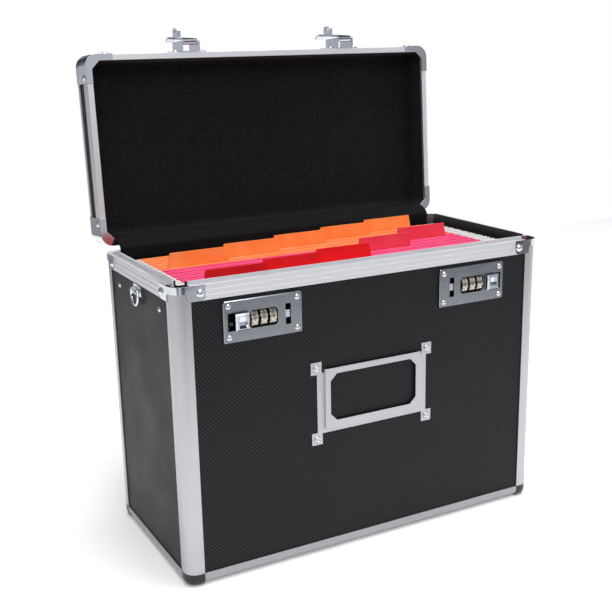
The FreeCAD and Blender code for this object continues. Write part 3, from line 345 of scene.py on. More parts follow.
@dataclass(frozen=True)
class EmbossedBoard(Finish):
    """Plastic-faced hardboard, hot rolled with a diamond emboss: dark, with a painted highlight on
    its ridges.
    """

    pitch: float = 2.5  # between ridges; the real one's 1.5 mm would not show
    depth: float = 0.16
    # colour of the painted highlight on the ridge tops
    ridge: str = "#3B3E43"

    def dress(self, tree: Tree, shader: Node, place: Socket) -> None:
        """Crosses three families of diagonal ridges, which show as diamonds on a flat face."""
        total = 0.0
        for slant in ((1, 1, 1), (1, 1, -1), (1, -1, 1)):
            along = add_node(
                tree, "ShaderNodeVectorMath", {0: place, 1: slant}, operation="DOT_PRODUCT"
            ).outputs["Value"]
            ridge = self.wave(tree, along, self.pitch * math.sqrt(2), "COSINE")
            total = add_node(
                tree, "ShaderNodeMath", {0: total, 1: ridge}, operation="ADD"
            ).outputs[0]
        height = add_node(
            tree, "ShaderNodeMapRange", {"Value": total, "From Min": -3, "From Max": 3}
        ).outputs["Result"]
        # Paints the ridge tops paler: a painted highlight where the emboss catches the light.
        self.two_tone(tree, shader, height, self.ridge, 0.55, 0.95)
        self.uneven_gloss(tree, shader, self.grain(tree, place, 40, 4), 0.06)
        self.relief(tree, shader, height, self.depth)
        shader.inputs["Specular IOR Level"].default_value = 0.2


@dataclass(frozen=True)
class SatinAluminium(Finish):
    """Aluminium extruded, etched and anodised: a soft sheen with faint lines along it."""

    line: float = 0.5  # between die lines; real ones are finer than the render shows
    upright: bool = False

    def dress(self, tree: Tree, shader: Node, place: Socket) -> None:
        """Stretches a noise along the extrusion for the die lines."""
        stretch = (1, 1, 0.01) if self.upright else (0.02, 0.02, 1)
        drawn = add_node(tree, "ShaderNodeMapping", {"Vector": place, "Scale": stretch})
        lines = self.grain(tree, drawn.outputs["Vector"], self.line, 2)
        self.uneven_gloss(tree, shader, lines, 0.05)
        self.relief(tree, shader, lines, 0.01)
        shader.inputs["Anisotropic"].default_value = 0.3


@dataclass(frozen=True)
class Plating(Finish):
    """Pressed steel, polished and plated: mirror-like, with a slight waviness from the press."""

    wave: float = 7.0
    depth: float = 0.02

    def dress(self, tree: Tree, shader: Node, place: Socket) -> None:
        """Adds the waviness, and dull patches where hands touch it."""
        self.relief(tree, shader, self.grain(tree, place, self.wave, 1), self.depth)
        self.uneven_gloss(tree, shader, self.grain(tree, place, 14, 5), 0.05)


@dataclass(frozen=True)
class MouldedPlastic(Finish):
    """ABS moulded in a spark-eroded tool: black, with a fine even grain."""

    spark: float = 0.7  # drawn coarser than the real 0.2 mm

    def dress(self, tree: Tree, shader: Node, place: Socket) -> None:
        """Adds the grain."""
        self.relief(tree, shader, self.grain(tree, place, self.spark, 2), 0.03)
        self.uneven_gloss(tree, shader, self.grain(tree, place, 9, 3), 0.06)


@dataclass(frozen=True)
class Felt(Finish):
    """Needled polyester felt, glued down: black, matt and faintly fuzzy."""

    tuft: float = 1.1
    nap: float = 3.5
    light: str = "#161617"

    def dress(self, tree: Tree, shader: Node, place: Socket) -> None:
        """Adds matted fibres, a lighter nap in patches, and sheen from the standing fibres."""
        matted = self.grain(tree, place, self.tuft, 6)
        self.two_tone(tree, shader, self.grain(tree, place, self.nap, 8), self.light)
        self.relief(tree, shader, matted, 0.5)
        shader.inputs["Sheen Weight"].default_value = 0.06
        shader.inputs["Sheen Roughness"].default_value = 0.6
        shader.inputs["Specular IOR Level"].default_value = 0.15


@dataclass(frozen=True)
class WovenCloth(Finish):
    """Coated polyester cloth, plain woven: black, with crossing threads."""

    thread: float = 1.2  # two threads; drawn twice as coarse as the real cloth
    # colour of the painted highlight on the threads' crowns
    light: str = "#141416"

    def dress(self, tree: Tree, shader: Node, place: Socket) -> None:
        """Crosses warp and weft along the cloth's own UV map, with painted highlight on the threads'
        crowns.
        """
        cloth = add_node(tree, "ShaderNodeUVMap", uv_map="cloth").outputs["UV"]
        parts = add_node(tree, "ShaderNodeSeparateXYZ", {0: cloth})
        threads = [self.wave(tree, way, self.thread, "SINE") for way in parts.outputs[:2]]
        crossed = add_node(
            tree, "ShaderNodeMath", {0: threads[0], 1: threads[1]}, operation="MULTIPLY"
        ).outputs[0]
        height = add_node(
            tree, "ShaderNodeMapRange", {"Value": crossed, "From Min": -1, "From Max": 1}
        ).outputs["Result"]
        # Paints the crowns lighter and the gaps between threads darker: painted highlight and
        # painted shade.
        self.two_tone(tree, shader, height, self.light, 0.2, 0.9)
        self.relief(tree, shader, height, 0.12)
        shader.inputs["Specular IOR Level"].default_value = 0.15


@dataclass(frozen=True)
class CardStock(Finish):
    """Dyed card, calendered: matt, with faint fibres and a little unevenness in its dye."""

    pale: str = "#FFFFFF"

    def dress(self, tree: Tree, shader: Node, place: Socket) -> None:
        """Adds the uneven dye and the fibres' relief."""
        self.two_tone(tree, shader, self.grain(tree, place, 18, 6), self.pale)
        self.relief(tree, shader, self.grain(tree, place, 0.9, 4), 0.03)
        self.uneven_gloss(tree, shader, self.grain(tree, place, 5, 2), 0.05)
        shader.inputs["Specular IOR Level"].default_value = 0.1


BOARD = EmbossedBoard("plastic_faced_board", "#0B0C0E", 0.48)
POST_METAL = SatinAluminium("anodised_aluminium_post", "#B8B8BB", 0.38, 1.0, upright=True)
RAIL_METAL = SatinAluminium("anodised_aluminium_rail", "#E0E0E3", 0.5, 0.9)
FOOT_METAL = SatinAluminium("anodised_aluminium_foot_rail", "#A9A9AC", 0.45, 0.9)
LABEL_METAL = SatinAluminium("etched_aluminium_sheet", "#BFC0C4", 0.5, 0.8)
CHROME = Plating("chrome_plated_steel", "#D6D8DC", 0.13, 1.0)
RIVET_METAL = Plating("nickel_plated_rivet", "#CFCFD2", 0.2, 1.0, wave=3.0)
LOCK_METAL = Plating("nickel_plated_lock_plate", "#888B90", 0.24, 1.0, wave=16.0, depth=0.05)
HASP_METAL = Plating("chrome_plated_hasp", "#CDD1D8", 0.14, 1.0, wave=4.0, depth=0.03)
ZINC = Plating("zinc_plated_steel", "#A9ABAE", 0.35, 1.0)
BLACKENED = Plating("blackened_steel", "#1A1A1C", 0.5, 0.6)
DIAL_METAL = Plating("turned_nickel_silver", "#B8B2A6", 0.28, 1.0, wave=2.0)
FIGURES = MouldedPlastic("black_enamel_figures", "#141414", 0.5)
MOULDING = MouldedPlastic("moulded_abs", "#17181A", 0.38)
COATING = MouldedPlastic("powder_coated_hook", "#EFEFEC", 0.45)
FELT = Felt("needled_felt", "#08080A", 0.95)
CLOTH = WovenCloth("coated_polyester_cloth", "#070708", 0.9)
PINK = CardStock("pink_card", "#F0507F", 0.8, pale="#F45E8A")
ORANGE = CardStock("orange_card", "#FF8A52", 0.8, pale="#FF9660")
RED_TAB = CardStock("red_tab_card", "#EE1E26", 0.75, pale="#F22C2E")
PINK_TAB = CardStock("pink_tab_card", "#F04458", 0.75, pale="#F35062")
ORANGE_TAB = CardStock("orange_tab_card", "#FF9044", 0.75, pale="#FFA05C")


def dress(finish: Finish, edge: float, *nodes: str) -> None:
    """Gives CAD nodes their finish, smooth shading and softened edges.

    Args:
        finish: Their finish.
        edge: Width of the rounding on sharp edges, in millimetres, or 0 for crisp ones.
        *nodes: The nodes' names.
    """
    for node in nodes:
        thing = frame["nodes"][node]
        thing.data.materials.clear()
        thing.data.materials.append(finish.build())
        kept = thing.data.attributes.get("custom_normal")
        if kept:
            thing.data.attributes.remove(kept)
        smooth(thing.data)
        weld = thing.modifiers.new("joined", "WELD")
        weld.merge_threshold = 0.002 * MM
        if edge:
            bevel = thing.modifiers.new("eased_edges", "BEVEL")
            bevel.width = edge * MM
            bevel.segments = 2
            bevel.limit_method = "ANGLE"
            bevel.angle_limit = SHARP
            bevel.harden_normals = True
        else:
            split = thing.modifiers.new("crisp_edges", "EDGE_SPLIT")
            split.split_angle = SHARP


# ---------------------------------------------------------------- rivets


class HeadForm(Enum):
    """Rivet heads, as radius and height shares from the crown to the flat underside."""

    DOMED = (
        (0, 1), (0.3, 0.97), (0.58, 0.84), (0.8, 0.58), (0.93, 0.3), (1, 0.16), (1.05, 0.1),
        (1.05, 0),
    )
    TUBULAR = (
        (0, 0.2), (0.4, 0.22), (0.5, 0.6), (0.6, 0.95), (0.74, 1), (0.9, 0.7), (1, 0.3), (1, 0),
    )


def head_mesh(form: HeadForm, steps: int = 24) -> Mesh:
    """Turns a head's outline about +Z.

    Args:
        form: Which head.
        steps: How many faces round it.

    Returns:
        A closed mesh of unit radius and height.
    """
    shape = bmesh.new()
    angles = [2 * math.pi * step / steps for step in range(steps)]
    rings = [
        [shape.verts.new((radius * math.cos(a), radius * math.sin(a), height)) for a in angles]
        for radius, height in form.value[1:]
    ]
    crown = shape.verts.new((0, 0, form.value[0][1]))
    foot = shape.verts.new((0, 0, 0))
    for step in range(steps):
        after = (step + 1) % steps
        shape.faces.new((crown, rings[0][step], rings[0][after]))
        shape.faces.new((foot, rings[-1][after], rings[-1][step]))
        for upper, lower in zip(rings, rings[1:]):
            shape.faces.new((upper[step], lower[step], lower[after], upper[after]))
    return smooth(mesh_from(f"{form.name.lower()}_head", shape))


def head_tree() -> Tree:
    """Builds the Geometry Nodes tree that sets a head on each point.

    Returns:
        A tree with the inputs Places, Head and Finish. Each place has the attributes way and size.
    """
    tree = bpy.data.node_groups.new("rivet_heads", "GeometryNodeTree")
    tree.interface.new_socket("Places", in_out="INPUT", socket_type="NodeSocketGeometry")
    tree.interface.new_socket("Head", in_out="INPUT", socket_type="NodeSocketObject")
    tree.interface.new_socket("Finish", in_out="INPUT", socket_type="NodeSocketMaterial")
    tree.interface.new_socket("Heads", in_out="OUTPUT", socket_type="NodeSocketGeometry")
    given = add_node(tree, "NodeGroupInput")
    head = add_node(tree, "GeometryNodeObjectInfo", {"Object": given.outputs["Head"]})
    way, size = (
        add_node(
            tree, "GeometryNodeInputNamedAttribute", {"Name": name}, data_type="FLOAT_VECTOR"
        ).outputs["Attribute"]
        for name in ("way", "size")
    )
    turn = add_node(tree, "FunctionNodeAlignRotationToVector", {"Vector": way}, axis="Z")
    heads = add_node(
        tree,
        "GeometryNodeInstanceOnPoints",
        {
            "Points": given.outputs["Places"],
            "Instance": head.outputs["Geometry"],
            "Rotation": turn.outputs["Rotation"],
            "Scale": size,
        },
    )
    real = add_node(tree, "GeometryNodeRealizeInstances", {"Geometry": heads.outputs["Instances"]})
    dressed = add_node(
        tree,
        "GeometryNodeSetMaterial",
        {"Geometry": real.outputs["Geometry"], "Material": given.outputs["Finish"]},
    )
    add_node(tree, "NodeGroupOutput", {"Heads": dressed.outputs["Geometry"]})
    return tree


@dataclass
class RivetHeads:
    """The rivet heads of one CAD node, each remade with a rolled or hollow head."""

    node: str
    body: str
    form: HeadForm = HeadForm.DOMED
    finish: Finish = RIVET_METAL

    def places(self) -> list[tuple[Vector, Vector, float, float]]:
        """Finds each head's foot, the way it points, its radius and its height."""
        found = []
        for solid in solids_of(self.node):
            middle = solid.mean(0)
            way = np.linalg.svd(solid - middle)[2][-1]
            along = (solid - middle) @ way
            out = np.linalg.norm(solid - middle - np.outer(along, way), axis=1)
            foot = along[out > 0.98 * out.max()].mean()
            crown = along[np.abs(along - foot).argmax()]
            way = way * np.sign(crown - foot)
            base = middle + way * abs(foot) * np.sign(foot * np.sign(crown - foot))
            found.append((Vector(base), Vector(way), float(out.max()), float(abs(crown - foot))))
        return found

    def build(self, tree: Tree) -> Object:
        """Sets the heads on their places and bakes them into one mesh.

        Args:
            tree: The tree that head_tree made.

        Returns:
            The piece that stands for the CAD node.
        """
        places = self.places()
        mesh = bpy.data.meshes.new("places")
        mesh.from_pydata([place[0] for place in places], [], [])
        way = mesh.attributes.new("way", "FLOAT_VECTOR", "POINT")
        way.data.foreach_set("vector", [c for place in places for c in place[1]])
        size = mesh.attributes.new("size", "FLOAT_VECTOR", "POINT")
        size.data.foreach_set("vector", [c for p in places for c in (p[2], p[2], p[3])])
        points = mesh_object("places", mesh, None)
        head = mesh_object("head", head_mesh(self.form), None)
        modifier = points.modifiers.new("heads", "NODES")
        modifier.node_group = tree
        values = {"Head": head, "Finish": self.finish.build()}
        for item in tree.interface.items_tree:
            if item.in_out == "INPUT" and item.name in values:
                modifier[item.identifier] = values[item.name]
        made = baked(points)
        for temporary in (points, head):
            bpy.data.objects.remove(temporary)
        piece = mesh_object(f"{self.node}_heads", made, self.body)
        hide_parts(self.node)
        LOG.info("%s: %d heads", piece.name, len(places))
        return piece


# ---------------------------------------------------------------- felt and cloth


@dataclass
class LidLining:
    """Felt pressed into the lid in one piece, with soft inside corners."""

    pitch: float = 3.0
    corner: float = 6.0
    felt: float = 0.7
    unevenness: float = 0.25
    swell_length: float = 22.0

    def build(self) -> Object:
        """Makes the lining for the shut lid, opens it, and lets it stand for the CAD lining."""
        opening = lid_opening()
        shut = opening.inverted()
        corners = [shut @ vert.co for vert in frame["nodes"]["lid_liner"].data.vertices]
        low = Vector([min(c[axis] for c in corners) for axis in range(3)])
        high = Vector([max(c[axis] for c in corners) for axis in range(3)])
        skin = self.felt * MM
        low = low + Vector((skin, skin, 0))
        high = high - Vector((skin, skin, skin))
        shape = bmesh.new()
        self.sheet(shape, low, high)
        bmesh.ops.remove_doubles(shape, verts=shape.verts, dist=0.05 * MM)
        middle = (low + high) / 2
        for vert in shape.verts:
            vert.co = self.softened(vert.co, low, high)
            inward = (middle - vert.co).normalized()
            swell = 0.5 + noise.noise(vert.co / (self.swell_length * MM))
            vert.co = vert.co + inward * self.unevenness * MM * swell
        mesh = smooth(mesh_from("lid_lining", shape))
        point_normals(mesh, lambda point: middle - Vector((0, 0, 20 * MM)) - point)
        mesh.transform(opening)
        mesh.materials.append(FELT.build())
        lining = mesh_object("lid_lining", mesh, "lid")
        wall = lining.modifiers.new("felt", "SOLIDIFY")
        wall.thickness = skin * 0.8
        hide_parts("lid_liner")
        return lining

    def sheet(self, shape: bmesh.types.BMesh, low: Vector, high: Vector) -> None:
        """Adds the floor and the four walls of the folded sheet as grids."""
        size = high - low
        counts = [max(2, round(length / (self.pitch * MM))) for length in size]

        def grid(corner: Vector, first: Vector, second: Vector, across: int, up: int) -> None:
            """Adds one flat grid of quads."""
            columns = [first * column / across for column in range(across + 1)]
            rows = [
                [shape.verts.new(corner + column + second * row / up) for column in columns]
                for row in range(up + 1)
            ]
            for upper, lower in zip(rows, rows[1:]):
                for c in range(across):
                    shape.faces.new((upper[c], upper[c + 1], lower[c + 1], lower[c]))

        x, y, z = Vector((size.x, 0, 0)), Vector((0, size.y, 0)), Vector((0, 0, size.z))
        grid(low + z, x, y, counts[0], counts[1])
        for start in (low, low + y):
            grid(start, x, z, counts[0], counts[2])
        for start in (low, low + x):
            grid(start, y, z, counts[1], counts[2])

    def softened(self, point: Vector, low: Vector, high: Vector) -> Vector:
        """Moves a point of the folded sheet on to the same sheet with rounded inside corners."""
        bend = self.corner * MM
        core = Vector(
            (
                min(max(point.x, low.x + bend), high.x - bend),
                min(max(point.y, low.y + bend), high.y - bend),
                min(point.z, high.z - bend),
            )
        )
        return core + (point - core).normalized() * bend


@dataclass
class FeltSheet:
    """One flat sheet of felt glued to a wall, seen on its inner face."""

    name: str
    thin: int  # the axis that it is thin along
    low: Triple
    high: Triple
    rests_on: tuple[str, ...]
    pitch: float = 8.0
    felt: float = 0.6
    unevenness: float = 0.12
    swell_length: float = 30.0
    near: float = 20.0  # a floor lies lower than this, and faces up

    def build(self, holes: list[tuple[Vector, Vector]]) -> Object:
        """Makes the sheet.

        Args:
            holes: Boxes that it is cut away round.

        Returns:
            The piece, riding on the case.
        """
        into = -1 if self.low[self.thin] > self.near else 1
        flat = [axis for axis in range(3) if axis != self.thin]
        rows = []
        for second in self.stops(flat[1], holes):
            row = []
            for first in self.stops(flat[0], holes):
                point = Vector((0, 0, 0))
                point[flat[0]], point[flat[1]] = first, second
                point[self.thin] = self.low[self.thin] * MM
                swell = 0.5 + noise.noise(point / (self.swell_length * MM)) / 2
                point[self.thin] -= into * self.unevenness * MM * swell
                row.append(point)
            rows.append(row)
        shape = bmesh.new()
        shape.from_mesh(grid_mesh(self.name, rows))
        gone = []
        for face in shape.faces:
            spot = face.calc_center_median()
            if any(all(low[a] < spot[a] < high[a] for a in flat) for low, high in holes):
                gone.append(face)
        bmesh.ops.delete(shape, geom=gone, context="FACES")
        mesh = mesh_from(self.name, shape)
        facing = Vector((0, 0, 0))
        facing[self.thin] = into
        point_normals(mesh, lambda _: facing)
        mesh.materials.append(FELT.build())
        piece = mesh_object(self.name, mesh, "case")
        wall = piece.modifiers.new("felt", "SOLIDIFY")
        wall.thickness = self.felt * MM
        return piece

    def stops(self, axis: int, cuts: list[tuple[Vector, Vector]]) -> list[float]:
        """Gives the grid's places along one axis, with lines on the edges of the holes."""
        edges = {self.low[axis] * MM, self.high[axis] * MM}
        for cut in cuts:
            edges |= {cut[0][axis], cut[1][axis]}
        edges = sorted(edges)
        line = []
        for start, end in zip(edges, edges[1:]):
            count = max(1, round((end - start) / (self.pitch * MM)))
            line += [start + (end - start) * step / count for step in range(count)]
        return line + [edges[-1]]


@dataclass
class BodyLining:
    """Felt on the floor and walls of the body and on the inside of its rim."""

    skin: float = 0.8
    post: float = 15.0  # the corner posts' leaves, from the outside
    rail: float = 10.8  # the bottom rails' leaves
    rail_gap: float = 1.4
    rim_felt_reach: float = 9.0  # how far the felt on the rim hangs below the posts' ends
    clearance: float = 0.5

    def build(self) -> None:
        """Makes the sheets, which stand for the CAD lining."""
        case = [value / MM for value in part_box("corner_posts")[1]]
        solids = solids_of("body_liner")
        lowest_strip = (case[2] - self.rim_felt_reach) * MM
        strips = [solid / MM for solid in solids if solid[:, 2].min() > lowest_strip]
        walls = np.concatenate([s / MM for s in solids if s[:, 2].min() <= lowest_strip])
        low, high = walls.min(0), walls.max(0)
        x, y, floor = high[0] - self.skin, high[1] - self.skin, low[2] + self.skin
        half_x, half_y = case[0] - self.post, case[1] - self.post
        floor_x, floor_y = case[0] - self.rail, case[1] - self.rail
        bottom, top = self.rail + self.rail_gap, high[2]
        start, end = (-floor_x, -floor_y, floor), (floor_x, floor_y, floor)
        sheets = [FeltSheet("felt_floor", 2, start, end, ("bottom_panel",))]
        for name, wall in (("front", -y), ("back", y)):
            start, end = (-half_x, wall, bottom), (half_x, wall, top)
            sheets.append(FeltSheet(f"felt_{name}", 1, start, end, (f"{name}_panel",)))
        for name, side in SIDES.items():
            start, end = (side * x, -half_y, bottom), (side * x, half_y, top)
            sheets.append(FeltSheet(f"felt_{name}", 0, start, end, (f"{name}_panel",)))
        for number, strip in enumerate(sorted(strips, key=lambda solid: tuple(solid.mean(0)))):
            sheets.append(self.rim_strip(number + 1, strip))
        gap = Vector((1, 1, 1)) * self.clearance * MM
        boxes = [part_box(f"{side}_lock_case") for side in SIDES]
        holes = [(box[0] - gap, box[1] + gap) for box in boxes]
        made = [sheet.build(holes if sheet.name == "felt_front" else []) for sheet in sheets]
        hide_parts("body_liner")
        LOG.info("body lining: %d sheets", len(made))

    def rim_strip(self, number: int, strip: np.ndarray) -> FeltSheet:
        """Gives the felt for one strip of the CAD lining on the rim.

        Args:
            number: The strip's number.
            strip: Its vertices, in millimetres.

        Returns:
            A sheet on the strip's inner face.
        """
        low, high = strip.min(0), strip.max(0)
        thin = int((high - low).argmin())
        inner = min(low[thin], high[thin], key=abs)
        low[thin] = high[thin] = inner
        return FeltSheet(f"felt_rim_{number}", thin, tuple(low), tuple(high), ("top_rims",))


@dataclass
class HingeCloth:
    """Cloth that covers the gap over the hinge, made in one fixed shape on no body."""

    pitch: float = 5.0
    bulge: float = 2.2
    ripple: float = 0.8
    thickness: float = 0.5
    hem: float = 0.4  # how far the CAD strip's ends reach past the cloth's line
    steps: int = 26
    straight_steps: int = 5

    def build(self) -> Object:
        """Makes the cloth from the edge held by the case to the edge held by the lid."""
        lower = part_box("hinge_cover_lower")
        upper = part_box("hinge_cover_upper")
        held_low = Vector((0, (lower[0].y + lower[1].y) / 2, lower[0].z))
        leave = Vector((0, held_low.y, lower[1].z))
        arrive = Vector((0, upper[0].y, upper[1].z - self.hem * MM))
        held_high = Vector((0, upper[1].y, upper[0].z + self.hem * MM))
        line = self.profile(held_low, leave, arrive, held_high)
        half = lower[1].x
        across = round(2 * half / (self.pitch * MM))
        rows = []
        for step in range(across + 1):
            x = -half + 2 * half * step / across
            rows.append([point + Vector((x, 0, 0)) + self.wrinkle(x, point) for point in line])
        mesh = grid_mesh("hinge_cloth", rows)
        length = sum((b - a).length for a, b in zip(line, line[1:]))
        uv = mesh.uv_layers.new(name="cloth")
        for loop in mesh.loops:
            row, column = divmod(loop.vertex_index, len(line))
            uv.data[loop.index].uv = (2 * half * row / across, length * column / (len(line) - 1))
        point_normals(mesh, lambda _: Vector((0, -1, 0.4)))
        mesh.materials.append(CLOTH.build())
        cloth = mesh_object("hinge_cloth", mesh, None)
        wall = cloth.modifiers.new("cloth", "SOLIDIFY")
        wall.thickness = self.thickness * MM
        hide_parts("hinge_cover_lower", "hinge_cover_upper")
        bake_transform(cloth)
        return cloth

    def profile(
        self, held_low: Vector, leave: Vector, arrive: Vector, held_high: Vector
    ) -> list[Vector]:
        """Gives the cloth's line: straight, then a slack arc clear of the hinge, then straight."""
        count = self.straight_steps
        out = (leave + arrive) / 2 + Vector((0, -0.6, 0.8)) * 2 * self.bulge * MM
        line = [held_low.lerp(leave, step / count) for step in range(count)]
        for step in range(self.steps + 1):
            share = step / self.steps
            first, second = leave.lerp(out, share), out.lerp(arrive, share)
            line.append(first.lerp(second, share))
        return line + [arrive.lerp(held_high, step / count) for step in range(1, count + 1)]

    def wrinkle(self, x: float, point: Vector) -> Vector:
        """Gives the cloth's slight ripple at a point."""
        lengths = (26 * MM, 14 * MM, 14 * MM)
        place = [value / length for value, length in zip((x, point.y, point.z), lengths)]
        return Vector((0, -0.35, 0.35)) * noise.noise(Vector(place)) * self.ripple * MM


# ---------------------------------------------------------------- sub-assemblies


@dataclass
class Carcass:
    """The body's boards, corner extrusions, feet, rim, brackets and hinges."""

    edge: float = 0.25
    foot_edge: float = 0.5
    rim_edge: float = 0.15
    plate_edge: float = 0.2

    def build(self) -> None:
        """Dresses the body's hard pieces."""
        walls = ("front", "back", "left", "right", "bottom")
        dress(BOARD, self.edge, *(f"{side}_panel" for side in walls))
        dress(POST_METAL, self.edge, "corner_posts")
        dress(FOOT_METAL, self.edge, "bottom_rails")
        dress(RAIL_METAL, self.rim_edge, "top_rims")
        dress(RAIL_METAL, self.plate_edge, "file_rails")
        dress(MOULDING, self.foot_edge, "corner_feet")
        dress(CHROME, self.plate_edge, "top_corner_brackets")
        dress(ZINC, self.rim_edge, "body_hinge_leaves", "lid_hinge_leaves")
        dress(ZINC, 0, "hinge_pins")


@dataclass
class Lid:
    """The lid's boards, rims, trims, corner cups and brackets."""

    edge: float = 0.25
    plate_edge: float = 0.2

    def build(self) -> None:
        """Dresses the lid's hard pieces."""
        dress(BOARD, self.edge, "lid_top_panel", "lid_walls")
        dress(RAIL_METAL, self.edge, "lid_rims", "lid_edge_trims")
        dress(CHROME, self.plate_edge, "lid_corners", "handle_brackets")


@dataclass
class Hasps:
    """The swinging hasps and the bridges that carry them."""

    edge: float = 0.22

    def build(self) -> None:
        """Dresses both hasps."""
        dress(HASP_METAL, self.edge, "hasp_bases", "left_hasp_arm", "right_hasp_arm")
        dress(HASP_METAL, 0, "hasp_pins")


@dataclass
class CombinationLock:
    """One lock: its plate, case, release button and three number wheels."""

    side: str
    figure: float = 4.185
    relief: float = 0.05
    proud: float = 0.04
    button_travel: float = 4.6
    edge: float = 0.2
    button_edge: float = 0.3
    dial_edge: float = 0.15

    def build(self) -> None:
        """Dresses the lock and sets the figures on its wheels."""
        dress(LOCK_METAL, self.edge, f"{self.side}_lock_plate")
        dress(BLACKENED, self.edge, f"{self.side}_lock_case")
        dress(HASP_METAL, self.button_edge, f"{self.side}_release_button")
        self.spring()
        for number in (1, 2, 3):
            dress(DIAL_METAL, self.dial_edge, f"{self.side}_dial_{number}")
            self.figures(number)

    def spring(self) -> None:
        """Dresses the release button's spring and gives it a mesh of its own."""
        name = f"{self.side}_button_spring"
        dress(ZINC, 0, name)
        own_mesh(frame["nodes"][name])

    def figures(self, number: int) -> Object:
        """Sets the figures 0 to 9 round one wheel.

        Args:
            number: Which wheel, from 1 to 3.

        Returns:
            The figures' piece, riding on the wheel.
        """
        low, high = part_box(f"{self.side}_dial_{number}")
        centre = (low + high) / 2
        radius = (high.y - low.y) / 2 + self.proud * MM
        whole = bmesh.new()
        for figure in range(10):
            drawn = self.drawn_figure(str(figure))
            turn = math.pi + 2 * math.pi * figure / 10
            for vert in drawn.vertices:
                angle = turn - vert.co.y / radius
                reach = radius + vert.co.z
                vert.co = (
                    centre.x + vert.co.x,
                    centre.y + reach * math.cos(angle),
                    centre.z + reach * math.sin(angle),
                )
            whole.from_mesh(drawn)
            bpy.data.meshes.remove(drawn)
        bmesh.ops.recalc_face_normals(whole, faces=whole.faces)
        mesh = mesh_from(f"{self.side}_figures_{number}", whole)
        mesh.materials.append(FIGURES.build())
        piece = mesh_object(mesh.name, mesh, f"{self.side}_dial_wheel_{number}")
        return piece

    def drawn_figure(self, text: str) -> Mesh:
        """Makes one figure as a thin plate centred on the origin."""
        curve = bpy.data.curves.new("figure", "FONT")
        curve.body = text
        curve.size = self.figure * MM
        curve.extrude = self.relief * MM
        curve.resolution_u = 2
        curve.align_x = "CENTER"
        curve.align_y = "CENTER"
        temporary = new_object("figure", curve)
        mesh = baked(temporary)
        bpy.data.objects.remove(temporary)
        return mesh


@dataclass
class SideFittings:
    """Strap rings with their brackets, the label frame and the axles of the lock wheels."""

    edge: float = 0.2

    def build(self) -> None:
        """Dresses the fittings."""
        dress(LABEL_METAL, self.edge, "label_frame")
        dress(CHROME, self.edge, "ring_brackets")
        dress(ZINC, 0, "dial_axles")
        dress(CHROME, 0, "left_d_ring", "right_d_ring")


@dataclass
class HangingFiles:
    """The hanging folders, their hooks and their index cards."""

    hook_edge: float = 0.25

    def build(self) -> None:
        """Dresses the folders."""
        dress(PINK, 0, "pink_folders")
        dress(ORANGE, 0, "orange_folders")
        dress(RED_TAB, 0, "red_index_cards")
        dress(PINK_TAB, 0, "pink_index_cards")
        dress(ORANGE_TAB, 0, "orange_index_cards")
        dress(COATING, self.hook_edge, "folder_hooks")


